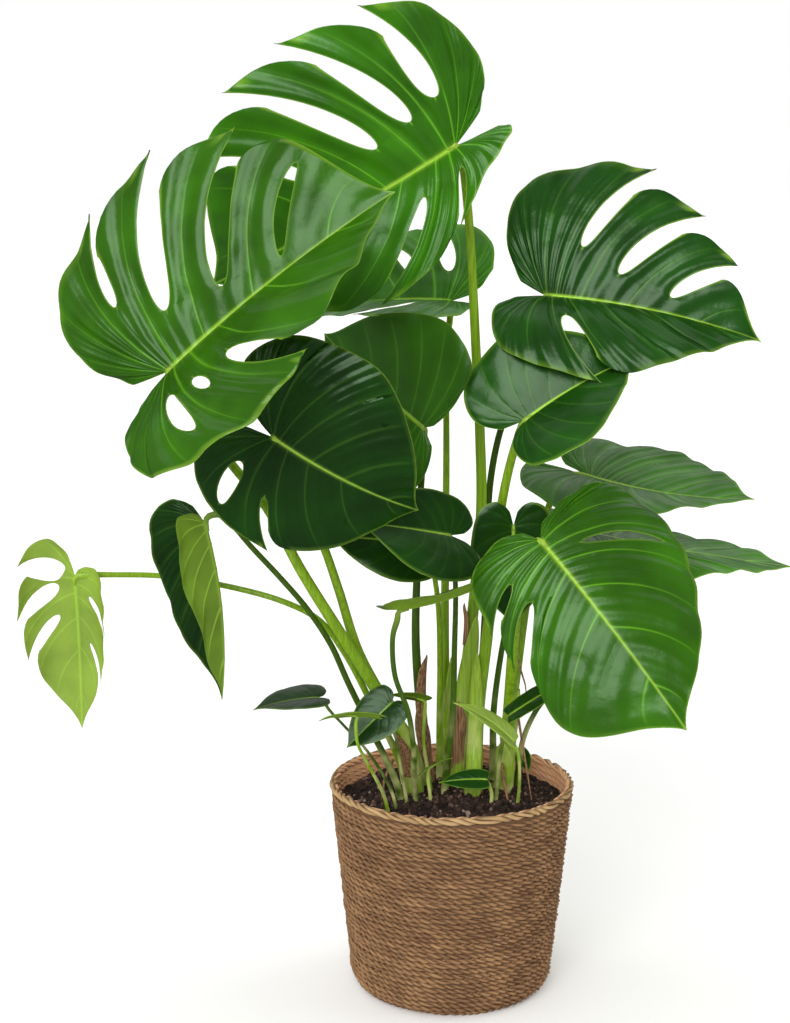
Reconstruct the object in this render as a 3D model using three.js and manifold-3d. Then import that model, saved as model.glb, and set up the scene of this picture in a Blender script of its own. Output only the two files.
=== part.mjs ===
// Potted swiss cheese plant (Monstera deliciosa) in a seagrass basket.
// Millimetres, +Z up. The origin is the centre of the basket's base, on the surface it stands on.
import * as THREE from 'three';
import { mergeVertices } from 'three/addons/utils/BufferGeometryUtils.js';
import Module from 'manifold-3d';

const wasm = await Module();
wasm.setup();

// Driving dimensions of the basket and the soil
const basket = {
  rimRadius: 124.5,
  footRadius: 104,
  footHeight: 12,
  flatRadius: 93,
  cornerWidth: 7,
  cornerHeight: 4,
  wallTop: 207.7,
  wall: 8,
  floor: 8,
  ropeRows: 15,
  ropeDepth: 1.6,
  turns: 32,
};
const braid = { radius: 120.5, height: 212.2, thickness: 4.1, lump: 0.16, plies: 22, turns: 66, sides: 6 };
const soil = { gap: 0.4, edge: 194, crown: 203, turns: 32, mound: [[1, 0], [0.7, 0.72], [0.35, 1]] };

// Driving dimensions of the blades and stems
const bladeThickness = 1.0;
const joinGap = 0.4;
const stemSides = { thick: 8, thin: 6 };
const thickStem = 5;
const stemStep = 42;
const stemSwell = 1.3;
const stemInset = 0.3;
const tipShare = 0.45;
const rootDepth = 32;
const rootLean = 0.9;
const weld = 1e-4;
const sliver = 0.05;

// One half of a heart-shaped blade, from the sinus behind the foot round to the tip.
// Each point is a share of the midrib, or of the lobe where it is negative, and a share of the half width.
const rimShape = [
  [0, 0], [-0.62, 0.1], [-1, 0.42], [-0.55, 0.84],
  [0.24, 1], [0.52, 0.84], [0.8, 0.46], [1, 0],
];
// A full half keeps its width nearly to the tip, and a square one ends in a broad last finger.
const fullShape = [
  [0, 0], [-0.62, 0.1], [-1, 0.42], [-0.55, 0.84],
  [0.22, 1], [0.55, 0.96], [0.82, 0.62], [1, 0],
];
const squareShape = [
  [0, 0], [-0.62, 0.1], [-1, 0.42], [-0.5, 0.84],
  [0.2, 1], [0.52, 1.02], [0.8, 0.92], [1, 0],
];
// A lobe that is rolled in behind the foot has its margin nearer the midrib.
const rolledShape = [
  [0, 0], [-0.8, 0.06], [-0.9, 0.16], [-0.2, 0.36],
  [0.24, 0.8], [0.55, 0.84], [0.8, 0.46], [1, 0],
];
const fan = 0.35;
const footPower = 2.8;
const veinBow = { most: 0.12, start: 0.1, range: 0.5, lobe: -0.2 };
// How far towards the tip a vein is swept round the rim by the time it reaches the margin
const veinSweep = 0.12;
const cutClearance = 0.035;
const marginWave = { height: 0.014, turns: 21, phase: 2 };
const roundCorner = 0.94;

// Columns run out from the midrib along the veins, rows run along the blade.
const grids = {
  large: { columns: [0.06, 0.14, 0.22, 0.3, 0.38, 0.46, 0.54, 0.62, 0.7, 0.78, 0.86, 0.93], rows: 5 },
  middle: { columns: [0.07, 0.17, 0.27, 0.37, 0.48, 0.6, 0.72, 0.84, 0.93], rows: 4 },
  small: { columns: [0.1, 0.24, 0.38, 0.54, 0.7, 0.86], rows: 3 },
};

// Finishes
const finishes = {
  freshGreen: { color: 0x4f9a2e, roughness: 0.4 },
  midGreen: { color: 0x3f7f2c, roughness: 0.42 },
  darkGreen: { color: 0x1f4a2a, roughness: 0.4 },
  greyGreen: { color: 0x4c6a4a, roughness: 0.45 },
  olive: { color: 0x7f8c50, roughness: 0.55 },
  lime: { color: 0x9cc04a, roughness: 0.5 },
  stemGreen: { color: 0x86ad3c, roughness: 0.45 },
  stemDark: { color: 0x3e5a2c, roughness: 0.45 },
  seagrass: { color: 0xa98457, roughness: 0.85 },
  seagrassPale: { color: 0xcfa868, roughness: 0.8 },
  soil: { color: 0x2b1f1b, roughness: 0.95 },
};

// A cut is [where along the rim, where it starts between midrib and margin, its width, how far it closes
// at the margin], and a hole has a fifth value, where it ends.
const open = 0.72;
const closing = 0.84;
const wideOpen = 0.5;
const narrowMouth = 0.93;

// Each leaf: where its stem meets the blade, which way the midrib heads, how steep it is, how it rolls,
// its length, how far the midrib bends down, and its two halves. The stem's points run from the blade down
// to the soil.
const leaves = [
  {
    name: 'upper_left', grid: 'large', finish: 'freshGreen', stemFinish: 'stemGreen',
    at: [-262, -165, 650], heading: -12, pitch: 43, roll: 53, length: 248, bend: 15,
    left: {
      half: 162, lobe: 56, rise: 34, curl: -18, shape: fullShape,
      cuts: [
        [0.5, 0.5, 13, narrowMouth], [0.64, 0.24, 27, open], [0.78, 0.16, 24, open],
        [0.88, 0.12, 13, 1, 0.86],
      ],
    },
    right: {
      half: 157, lobe: 59, rise: 31, curl: -27,
      cuts: [[0.5, 0.32, 20, 1, 0.8], [0.6, 0.34, 12, 1, 0.54], [0.7, 0.4, 24, open]],
    },
    stem: [[-259, -156, 638], [-238, -142, 605], [-211, -130, 563], [-177, -122, 517],
      [-147, -108, 456], [-106, -84, 380], [-69, -50, 310], [-48, -22, 255], [-38, -5, 207]],
    stemRadius: [4, 8],
  },
  {
    name: 'top', grid: 'large', finish: 'midGreen', stemFinish: 'stemGreen',
    at: [0, -20, 851], heading: 184, pitch: -32, roll: -98, length: 270, bend: 28,
    left: {
      half: 116, lobe: 56, rise: 52, curl: -34, shape: rolledShape,
      cuts: [[0.5, 0.34, 18, open], [0.66, 0.26, 18, open], [0.8, 0.3, 14, open]],
    },
    right: {
      half: 164, lobe: 60, rise: 12, curl: -18, shape: fullShape,
      cuts: [
        [0.48, 0.34, 25, closing], [0.6, 0.25, 23, closing], [0.71, 0.22, 21, closing],
        [0.82, 0.3, 15, closing],
      ],
    },
    stem: [[6, -14, 844], [9, -5, 824], [15, 8, 768], [19, 14, 709], [23, 18, 640], [27, 20, 569],
      [29, 20, 498], [25, 20, 426], [18, 18, 354], [10, 14, 281], [5, 12, 207]],
    stemRadius: [4, 7],
  },
  {
    name: 'upper_right', grid: 'large', finish: 'darkGreen', stemFinish: 'stemDark',
    at: [90, 20, 706], heading: -12, pitch: -3, roll: 38, length: 208, bend: 21,
    left: {
      half: 150, lobe: 42, rise: 44, curl: -33,
      cuts: [[0.63, 0.34, 16, open], [0.76, 0.24, 18, open], [0.87, 0.22, 16, open]],
    },
    right: {
      half: 112, lobe: 44, rise: 34, curl: -70,
      cuts: [[0.6, 0.36, 20, open]],
    },
    stem: [[87, 28, 698], [80, 34, 668], [63, 40, 607], [48, 45, 566], [38, 48, 504], [37, 48, 431],
      [34, 48, 346], [29, 45, 283], [25, 42, 210]],
    stemRadius: [3, 5.5],
  },
  {
    name: 'centre_left', grid: 'large', finish: 'darkGreen', stemFinish: 'stemGreen',
    at: [-167, -188, 594], heading: -8, pitch: -34, roll: 100, length: 150, bend: 40,
    left: { half: 108, lobe: 58, rise: 8, curl: -25, cuts: [] },
    right: {
      half: 105, lobe: 60, rise: 6, curl: -22,
      cuts: [[0.46, 0.4, 18, 1, 0.88], [0.6, 0.5, 8, open]],
    },
    stem: [[-165, -176, 586], [-153, -146, 553], [-127, -112, 484], [-112, -86, 432], [-95, -54, 365],
      [-71, -22, 308], [-46, 0, 255], [-31, 14, 206]],
    stemRadius: [3.5, 6.5],
  },
  {
    name: 'front_right', grid: 'large', finish: 'freshGreen', stemFinish: 'stemGreen',
    at: [76, -150, 493], heading: -40, pitch: -40, roll: 42, length: 208, bend: 20,
    left: { half: 128, lobe: 22, rise: 6, curl: -50, cuts: [[0.62, 0.22, 9, 1, 0.82]] },
    right: {
      half: 92, lobe: 26, rise: -2, curl: -34, shape: squareShape,
      cuts: [[0.55, 0.5, 12, open], [0.65, 0.42, 26, wideOpen]],
    },
    stem: [[70, -138, 481], [62, -108, 443], [57, -76, 384], [57, -30, 312], [56, 0, 253],
      [54, 6, 209]],
    stemRadius: [4, 9],
  },
  {
    name: 'back_centre', grid: 'middle', finish: 'greyGreen', stemFinish: 'stemDark',
    at: [-30, -20, 580], heading: 153, pitch: 35, roll: -89, length: 145, bend: 16,
    left: { half: 100, lobe: 30, rise: 14, curl: -25, cuts: [] },
    right: { half: 100, lobe: 14, rise: 15, curl: -24, cuts: [] },
    stem: [[-30, -14, 568], [-31, -10, 540], [-34, -8, 489], [-36, -4, 431], [-37, 2, 362],
      [-33, 14, 296], [-24, 30, 212]],
    stemRadius: [3, 5.5],
  },
  {
    name: 'centre_right', grid: 'middle', finish: 'darkGreen', stemFinish: 'stemGreen',
    at: [66, -60, 592], heading: 0, pitch: 38, roll: 46, length: 119, bend: 26,
    left: { half: 80, lobe: 37, rise: 30, curl: -12, cuts: [] },
    right: { half: 78, lobe: 24, rise: 25, curl: -19, cuts: [] },
    stem: [[64, -52, 583], [56, -43, 556], [46, -34, 504], [41, -23, 440], [34, -8, 363], [27, 0, 295],
      [22, -12, 209]],
    stemRadius: [4, 8],
  },
  {
    name: 'right_back', grid: 'middle', finish: 'greyGreen', stemFinish: 'stemGreen',
    at: [145, 90, 514], heading: -27, pitch: -12, roll: 7, length: 170, bend: -17,
    left: { half: 105, lobe: 54, rise: 18, curl: -21, cuts: [] },
    right: { half: 106, lobe: 58, rise: 17, curl: -39, cuts: [] },
    stem: [[128, 86, 516], [115, 80, 513], [105, 74, 495], [93, 68, 458], [80, 58, 397], [70, 48, 325],
      [62, 38, 263], [59, 34, 208]],
    stemRadius: [3.2, 5.5],
  },
  {
    name: 'right_low', grid: 'middle', finish: 'greyGreen', stemFinish: 'stemDark',
    at: [143, 60, 460], heading: -2, pitch: -12, roll: 2, length: 204, bend: -5,
    left: { half: 122, lobe: 60, rise: 9, curl: -22, cuts: [] },
    right: { half: 122, lobe: 59, rise: 11, curl: -22, cuts: [] },
    stem: [[137, 62, 444], [130, 60, 386], [116, 50, 311], [88, 38, 276], [74, 24, 249], [68, 20, 206]],
    stemRadius: [2.2, 3.2],
  },
  {
    name: 'middle', grid: 'middle', finish: 'darkGreen', stemFinish: 'stemDark',
    at: [-6, -95, 487], heading: 205, pitch: 14, roll: -52, length: 92, bend: 8,
    left: { half: 57, lobe: 27, rise: 20, curl: -24, cuts: [] },
    right: { half: 46, lobe: 26, rise: 16, curl: -20, cuts: [] },
    stem: [[-3, -84, 473], [1, -62, 424], [1, -36, 357], [0, -20, 287], [-7, -12, 209]],
    stemRadius: [2.4, 4],
  },
  {
    name: 'middle_back', grid: 'small', finish: 'darkGreen', stemFinish: 'stemGreen',
    at: [-29, -50, 470], heading: 196, pitch: 9, roll: -72, length: 92, bend: 18,
    left: { half: 42, lobe: 12, rise: 20, curl: -14, cuts: [] },
    right: { half: 42, lobe: 12, rise: 17, curl: -20, cuts: [] },
    stem: [[-23, -40, 452], [-15, -12, 402], [-12, 14, 334], [-12, 28, 267], [-11, 40, 213]],
    stemRadius: [2.4, 3.8],
  },
  {
    name: 'right_inner', grid: 'small', finish: 'darkGreen', stemFinish: 'stemDark',
    at: [57, -52, 488], heading: -90, pitch: -92, roll: 0, length: 100, bend: 12,
    left: { half: 42, lobe: 24, rise: 14, curl: -22, cuts: [] },
    right: { half: 42, lobe: 24, rise: 14, curl: -22, cuts: [] },
    stem: [[54, -44, 477], [60, -34, 440], [58, -10, 400], [50, 6, 348], [43, 14, 281], [43, 26, 208]],
    stemRadius: [2.4, 3.8],
  },
  {
    name: 'curled', grid: 'middle', finish: 'olive', stemFinish: 'stemDark',
    at: [-54, -130, 423], heading: 10, pitch: 5, roll: -16, length: 98, bend: -20,
    left: { half: 56, lobe: 18, rise: 18, curl: -20, cuts: [] },
    right: { half: 50, lobe: 18, rise: 18, curl: -20, cuts: [] },
    stem: [[-56, -125, 411], [-60, -121, 395], [-58, -116, 355], [-46, -112, 320], [-40, -86, 275],
      [-38, -34, 214]],
    stemRadius: [2.4, 2.8],
  },
  {
    name: 'left_folded', grid: 'middle', finish: 'darkGreen', stemFinish: 'stemDark',
    at: [-238, -100, 500], heading: 180, pitch: -105, roll: 0, length: 166, bend: -20,
    left: { half: 36, lobe: 14, rise: 62, curl: -10, cuts: [] },
    right: { half: 66, lobe: 30, rise: 77, curl: -20, cuts: [] },
    stem: [[-235, -103, 506], [-231, -104, 508], [-224, -105, 509], [-214, -106, 502],
      [-193, -105, 477], [-167, -100, 447], [-143, -92, 416], [-121, -82, 379], [-104, -66, 335],
      [-85, -46, 288], [-55, -32, 216]],
    stemRadius: [2.6, 3.4],
  },
  {
    name: 'far_left', grid: 'middle', finish: 'lime', stemFinish: 'stemGreen',
    at: [-369, -60, 440], heading: 84, pitch: -80, roll: 0, length: 150, bend: 12,
    left: {
      half: 64, lobe: 38, rise: 20, curl: -82,
      cuts: [[0.44, 0.2, 26, open], [0.58, 0.25, 20, open], [0.72, 0.3, 14, open]],
    },
    right: {
      half: 36, lobe: 10, rise: 14, curl: -76,
      cuts: [[0.62, 0.3, 12, open], [0.8, 0.35, 9, open]],
    },
    stem: [[-359, -60, 441], [-334, -54, 440], [-284, -42, 436], [-221, -36, 424], [-168, -40, 410],
      [-134, -36, 391], [-110, -22, 356], [-81, 0, 293], [-51, 24, 219]],
    stemRadius: [2.6, 3.6],
  },
  {
    name: 'small_left', grid: 'small', finish: 'darkGreen', stemFinish: 'stemDark',
    at: [-132, -110, 332], heading: 190, pitch: 0, roll: -8, length: 60, bend: 17,
    left: { half: 30, lobe: 10, rise: 16, curl: -20, cuts: [] },
    right: { half: 30, lobe: 10, rise: 14, curl: -22, cuts: [] },
    stem: [[-127, -106, 327], [-121, -98, 316], [-106, -76, 292], [-84, -62, 262], [-61, -52, 218]],
    stemRadius: [1.3, 1.7],
  },
  {
    name: 'small_olive', grid: 'small', finish: 'olive', stemFinish: 'stemGreen',
    at: [-94, -130, 321], heading: 190, pitch: 4, roll: 22, length: 36, bend: 20,
    left: { half: 22, lobe: 26, rise: 10, curl: -20, cuts: [] },
    right: { half: 22, lobe: 26, rise: 10, curl: -20, cuts: [] },
    stem: [[-95, -128, 313], [-94, -122, 292], [-86, -100, 266], [-69, -62, 218]],
    stemRadius: [1.4, 1.8],
  },
  {
    name: 'small_dark', grid: 'small', finish: 'darkGreen', stemFinish: 'stemDark',
    at: [-62, -88, 320], heading: 200, pitch: -40, roll: -50, length: 58, bend: 10,
    left: { half: 24, lobe: 10, rise: 14, curl: -20, cuts: [] },
    right: { half: 24, lobe: 10, rise: 14, curl: -20, cuts: [] },
    stem: [[-60, -82, 311], [-57, -66, 278], [-48, -46, 217]],
    stemRadius: [1.4, 1.8],
  },
  {
    name: 'small_lime', grid: 'small', finish: 'lime', stemFinish: 'stemGreen',
    at: [57, -84, 281], heading: 192, pitch: 48, roll: -30, length: 68, bend: 30,
    left: { half: 14, lobe: 3, rise: 20, curl: -20, cuts: [] },
    right: { half: 14, lobe: 3, rise: 20, curl: -20, cuts: [] },
    stem: [[62, -77, 268], [65, -48, 209]],
    stemRadius: [1.4, 1.8],
  },
  {
    name: 'soil_dark', grid: 'small', finish: 'darkGreen', stemFinish: 'stemGreen',
    at: [33, -45, 229], heading: 184, pitch: 4, roll: -40, length: 46, bend: 24,
    left: { half: 12, lobe: 3, rise: 12, curl: -20, cuts: [] },
    right: { half: 12, lobe: 3, rise: 12, curl: -20, cuts: [] },
    stem: [[37, -43, 220], [39, -42, 211]],
    stemRadius: [1.4, 1.6],
  },
  {
    name: 'soil_olive', grid: 'small', finish: 'olive', stemFinish: 'stemGreen',
    at: [-25, -40, 239], heading: 20, pitch: 30, roll: -20, length: 26, bend: 24,
    left: { half: 8, lobe: 12, rise: 12, curl: -20, cuts: [] },
    right: { half: 8, lobe: 12, rise: 12, curl: -20, cuts: [] },
    stem: [[-25, -38, 229], [-23, -38, 212]],
    stemRadius: [1.4, 1.6],
  },
  {
    name: 'small_edge', grid: 'small', finish: 'darkGreen', stemFinish: 'stemGreen',
    at: [-28, -20, 304], heading: 196, pitch: 22, roll: 30, length: 42, bend: 24,
    left: { half: 13, lobe: 4, rise: 14, curl: -20, cuts: [] },
    right: { half: 13, lobe: 4, rise: 14, curl: -20, cuts: [] },
    stem: [[-28, -20, 292], [-29, -18, 258], [-22, -9, 211]],
    stemRadius: [1.6, 2],
  },
  {
    name: 'top_back', grid: 'middle', finish: 'midGreen', stemFinish: 'stemGreen',
    at: [-1, 100, 695], heading: 164, pitch: 3, roll: -20, length: 185, bend: 21,
    left: { half: 114, lobe: 37, rise: 26, curl: -19, cuts: [[0.6, 0.4, 14, open]] },
    right: {
      half: 118, lobe: 32, rise: 29, curl: -15,
      cuts: [[0.55, 0.34, 20, open], [0.7, 0.3, 14, 1, 0.75], [0.84, 0.24, 14, open]],
    },
    stem: [[-1, 98, 683], [-4, 92, 648], [-5, 84, 592], [-5, 74, 520], [-6, 62, 428], [-6, 56, 334],
      [-5, 58, 261], [-3, 62, 208]],
    stemRadius: [2.8, 5.5],
  },
  {
    name: 'narrow_right', grid: 'small', finish: 'darkGreen', stemFinish: 'stemDark',
    at: [56, -52, 298], heading: -4, pitch: 36, roll: 26, length: 92, bend: 10,
    left: { half: 15, lobe: 4, rise: 16, curl: -20, cuts: [] },
    right: { half: 15, lobe: 4, rise: 16, curl: -20, cuts: [] },
    stem: [[53, -49, 287], [47, -38, 250], [44, -31, 208]],
    stemRadius: [1.8, 2.2],
  },
  {
    name: 'rim_right', grid: 'small', finish: 'darkGreen', stemFinish: 'stemGreen',
    at: [71, 54, 228], heading: -60, pitch: -30, roll: 10, length: 26, bend: 24,
    left: { half: 10, lobe: 3, rise: 14, curl: -20, cuts: [] },
    right: { half: 10, lobe: 3, rise: 14, curl: -20, cuts: [] },
    stem: [[66, 54, 222], [56, 54, 210]],
    stemRadius: [1.4, 1.6],
  },
];

function finish(name) {
  return new THREE.MeshStandardMaterial({ metalness: 0, side: THREE.FrontSide, ...finishes[name] });
}

function closedMesh(name, geometry, finishName) {
  geometry.computeVertexNormals();
  const mesh = new THREE.Mesh(geometry, finish(finishName));
  mesh.name = name;
  return mesh;
}

function indexedGeometry(points, faces) {
  const geometry = new THREE.BufferGeometry();
  const numbers = points.flatMap((point) => point.toArray());
  geometry.setAttribute('position', new THREE.Float32BufferAttribute(numbers, 3));
  geometry.setIndex(faces.flat());
  return geometry;
}

function toSolid(geometry) {
  const bare = geometry.clone();
  bare.deleteAttribute('normal');
  bare.deleteAttribute('uv');
  const merged = mergeVertices(bare, weld);
  return new wasm.Manifold(new wasm.Mesh({
    numProp: 3,
    vertProperties: new Float32Array(merged.attributes.position.array),
    triVerts: new Uint32Array(merged.index.array),
  }));
}

function fromSolid(solid) {
  const mesh = solid.getMesh();
  const geometry = new THREE.BufferGeometry();
  geometry.setAttribute('position', new THREE.Float32BufferAttribute(Array.from(mesh.vertProperties), 3));
  geometry.setIndex(Array.from(mesh.triVerts));
  return geometry;
}

// The main piece of a cut solid, without slivers
function largestPiece(solid) {
  const pieces = solid.simplify(sliver).decompose();
  return pieces.reduce((best, piece) => (piece.volume() > best.volume() ? piece : best));
}

// Where the rim is at s, measured from the foot: x along the midrib, y across it
function rimPoint(half, length, s) {
  const shape = half.shape ?? rimShape;
  const points = shape.map(([x, y]) => new THREE.Vector2(x * (x < 0 ? half.lobe : length), y * half.half));
  return new THREE.SplineCurve(points).getPoint(s);
}

// A point of the flat half blade: s runs round the rim, t runs out along a bowed vein from midrib to rim
function flatPoint(half, length, s, t) {
  const rim = rimPoint(half, length, s + veinSweep * s * (1 - s) * t * t);
  const foot = new THREE.Vector2(length * Math.max(0, (s - fan) / (1 - fan)) ** footPower, 0);
  const vein = rim.clone().sub(foot);
  const bow = veinBow.most * THREE.MathUtils.clamp((s - veinBow.start) / veinBow.range, veinBow.lobe, 1);
  const across = new THREE.Vector2(-vein.y, vein.x).multiplyScalar(bow);
  const middle = foot.clone().addScaledVector(vein, 0.5).add(across);
  return new THREE.QuadraticBezierCurve(foot, middle, rim).getPoint(t);
}

// The midrib's direction, the way to the left half and the upper face's normal
function bladeFrame(leaf) {
  const [heading, pitch, roll] = [leaf.heading, leaf.pitch, leaf.roll].map(THREE.MathUtils.degToRad);
  const along = new THREE.Vector3(
    Math.cos(heading) * Math.cos(pitch),
    Math.sin(heading) * Math.cos(pitch),
    Math.sin(pitch),
  );
  const up = new THREE.Vector3(
    -Math.cos(heading) * Math.sin(pitch),
    -Math.sin(heading) * Math.sin(pitch),
    Math.cos(pitch),
  );
  const left = up.clone().cross(along).applyAxisAngle(along, roll);
  return { along, left, up: up.applyAxisAngle(along, roll) };
}

// Bends a flat point of the blade: the midrib droops along its length, and each half rises from it
// and curls over
function bladePoint(leaf, frame, side, s, t) {
  const half = side > 0 ? leaf.left : leaf.right;
  const flat = flatPoint(half, leaf.length, s, t);
  const bend = THREE.MathUtils.degToRad(leaf.bend) / leaf.length;
  const turn = bend * flat.x;
  const up = frame.up.clone().multiplyScalar(Math.cos(turn)).addScaledVector(frame.along, Math.sin(turn));
  const rise = THREE.MathUtils.degToRad(half.rise);
  const curl = THREE.MathUtils.degToRad(half.curl) / half.half;
  const ripple = Math.sin(marginWave.turns * s + marginWave.phase * side);
  const wave = marginWave.height * leaf.length * t * t * ripple;
  return new THREE.Vector3(...leaf.at)
    .addScaledVector(frame.along, Math.sin(turn) / bend)
    .addScaledVector(frame.up, (Math.cos(turn) - 1) / bend)
    .addScaledVector(frame.left, side * (Math.sin(rise + curl * flat.y) - Math.sin(rise)) / curl)
    .addScaledVector(up, (Math.cos(rise) - Math.cos(rise + curl * flat.y)) / curl + wave);
}

// How wide a cut is at t
function cutWidth([, from, width, mouth, to], t) {
  const end = to ?? 1;
  const share = THREE.MathUtils.clamp((t - from) / (end - from), 0, 1);
  if (to) return width * Math.sqrt(4 * share * (1 - share));
  return width * Math.sin(Math.PI * mouth * Math.sqrt(share));
}

// The rows of one column: where the cut starts and ends falls exactly on a row
function columnRows(cut, rows) {
  if (!cut) return Array.from({ length: rows + 1 }, (_, i) => i / rows);
  const [, from, , , to] = cut;
  const start = THREE.MathUtils.clamp(Math.round(from * rows), 1, rows - 2);
  const end = to ? THREE.MathUtils.clamp(Math.round(to * rows), start + 2, rows) : rows;
  const last = to && end === rows ? rows + 1 : rows;
  return Array.from({ length: rows + 1 }, (_, i) => {
    if (i <= start) return from * i / start;
    if (!to) return from + (1 - from) * (i - start) / (rows - start);
    const stop = Math.min(end, last - 1);
    if (i <= stop) return from + (to - from) * (i - start) / (stop - start);
    return to + (1 - to) * (i - end) / (rows - end);
  });
}

// The middle surface of a blade, as points and faces; its two halves share the midrib
function bladeSurface(leaf) {
  const { columns, rows } = grids[leaf.grid];
  const frame = bladeFrame(leaf);
  const cutAt = (half, s) => half.cuts.find((cut) => cut[0] === s);
  const cutPlaces = [...leaf.left.cuts, ...leaf.right.cuts].map((cut) => cut[0]);
  const clear = columns.filter((s) => cutPlaces.every((place) => Math.abs(place - s) > cutClearance));
  const places = [...new Set([...clear, ...cutPlaces])].sort((a, b) => a - b);
  const points = [];
  const faces = [];
  const add = (side, s, t) => points.push(bladePoint(leaf, frame, side, s, t)) - 1;
  const foot = add(1, 0, 0);
  const tip = add(1, 1, 1);
  const midrib = places.map((s) => (s <= fan ? foot : add(1, s, 0)));
  for (const side of [1, -1]) {
    const half = side > 0 ? leaf.left : leaf.right;
    const strips = places.map((s, column) => {
      const cut = cutAt(half, s);
      const levels = columnRows(cut, rows);
      const rear = [midrib[column]];
      const front = [midrib[column]];
      for (const t of levels.slice(1)) {
        const end = cut?.[4] ?? 2;
        if (!cut || t <= cut[1] + 1e-6 || t >= end - 1e-6) {
          const shared = add(side, s, t);
          rear.push(shared);
          front.push(shared);
        } else {
          const a = flatPoint(half, leaf.length, s - 0.01, t);
          const b = flatPoint(half, leaf.length, s + 0.01, t);
          const shift = 0.5 * cutWidth(cut, t) * 0.02 / a.distanceTo(b);
          rear.push(add(side, s - shift, t));
          front.push(add(side, s + shift, t === 1 ? roundCorner : t));
        }
      }
      return { rear, front };
    });
    strips.push({ rear: Array(rows + 1).fill(tip) });
    for (let column = 0; column < places.length; column += 1) {
      const { front } = strips[column];
      const { rear } = strips[column + 1];
      for (let row = 0; row < rows; row += 1) {
        const quad = [front[row], rear[row], rear[row + 1], front[row + 1]];
        for (const [a, b, c] of [[0, 1, 2], [0, 2, 3]]) {
          const face = side > 0 ? [quad[a], quad[b], quad[c]] : [quad[a], quad[c], quad[b]];
          if (new Set(face).size === 3) faces.push(face);
        }
      }
    }
  }
  return { points, faces };
}

// Gives a surface a thickness, with the same triangles on both faces and a wall round every free edge,
// which can also be spread outwards
function thicken({ points, faces }, thickness, spread = 0) {
  const normals = points.map(() => new THREE.Vector3());
  const edges = new Set();
  for (const face of faces) {
    const [a, b, c] = face.map((index) => points[index]);
    const normal = b.clone().sub(a).cross(c.clone().sub(a));
    face.forEach((index, corner) => {
      normals[index].add(normal);
      edges.add(`${index} ${face[(corner + 1) % 3]}`);
    });
  }
  const count = points.length;
  const walls = [];
  const outward = points.map(() => new THREE.Vector3());
  for (const edge of edges) {
    const [a, b] = edge.split(' ').map(Number);
    if (edges.has(`${b} ${a}`)) continue;
    walls.push([b, a, a + count], [b, a + count, b + count]);
    const out = points[b].clone().sub(points[a]).cross(normals[a]).normalize();
    outward[a].add(out);
    outward[b].add(out);
  }
  const offset = (way) => points.map((point, i) => point.clone()
    .addScaledVector(normals[i].clone().normalize(), way * thickness / 2)
    .addScaledVector(outward[i].clone().normalize(), spread));
  const under = faces.map(([a, b, c]) => [a + count, c + count, b + count]);
  return indexedGeometry([...offset(1), ...offset(-1)], [...faces, ...under, ...walls]);
}

// A round stem that swells from the blade down to the soil, and goes on down into it
function stemGeometry(leaf, grow = 0) {
  const [x, y, z] = leaf.stem[leaf.stem.length - 1];
  const root = [x * rootLean, y * rootLean, z - rootDepth - grow];
  const path = [leaf.at, ...leaf.stem, root].map((p) => new THREE.Vector3(...p));
  path[0].add(path[1].clone().sub(path[0]).setLength(bladeThickness / 2 + joinGap + stemInset));
  const curve = new THREE.CatmullRomCurve3(path);
  const steps = Math.max(5, Math.round(curve.getLength() / stemStep));
  const frames = curve.computeFrenetFrames(steps, false);
  const [top, base] = leaf.stemRadius;
  const sides = base > thickStem ? stemSides.thick : stemSides.thin;
  const points = [];
  const faces = [];
  for (let i = 0; i <= steps; i += 1) {
    const centre = curve.getPointAt(i / steps);
    const radius = (i ? top + (base - top) * (i / steps) ** stemSwell : tipShare * top) + grow;
    for (let side = 0; side < sides; side += 1) {
      const angle = 2 * Math.PI * side / sides;
      points.push(centre.clone()
        .addScaledVector(frames.normals[i], radius * Math.cos(angle))
        .addScaledVector(frames.binormals[i], radius * Math.sin(angle)));
    }
  }
  const ring = (i, side) => i * sides + side % sides;
  for (let i = 0; i < steps; i += 1) {
    for (let side = 0; side < sides; side += 1) {
      faces.push([ring(i, side), ring(i, side + 1), ring(i + 1, side + 1)]);
      faces.push([ring(i, side), ring(i + 1, side + 1), ring(i + 1, side)]);
    }
  }
  for (let side = 1; side < sides - 1; side += 1) {
    faces.push([ring(0, 0), ring(0, side + 1), ring(0, side)]);
    faces.push([ring(steps, 0), ring(steps, side), ring(steps, side + 1)]);
  }
  return indexedGeometry(points, faces);
}

function leafMeshes(leaf) {
  const surface = bladeSurface(leaf);
  const blade = thicken(surface, bladeThickness);
  const room = toSolid(thicken(surface, bladeThickness + 2 * joinGap, joinGap));
  const stem = largestPiece(toSolid(stemGeometry(leaf)).subtract(room));
  return [
    closedMesh(`leaf_${leaf.name}`, blade, leaf.finish),
    closedMesh(`stem_${leaf.name}`, fromSolid(stem), leaf.stemFinish),
  ];
}

function wallRadius(z) {
  const share = (z - basket.footHeight) / (basket.wallTop - basket.footHeight);
  return basket.footRadius + (basket.rimRadius - basket.footRadius) * share;
}

function lathe(profile, turns) {
  const turned = new THREE.LatheGeometry(profile.map(([r, z]) => new THREE.Vector2(r, z)), turns);
  turned.deleteAttribute('uv');
  turned.deleteAttribute('normal');
  return mergeVertices(turned.rotateX(Math.PI / 2), weld);
}

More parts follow.
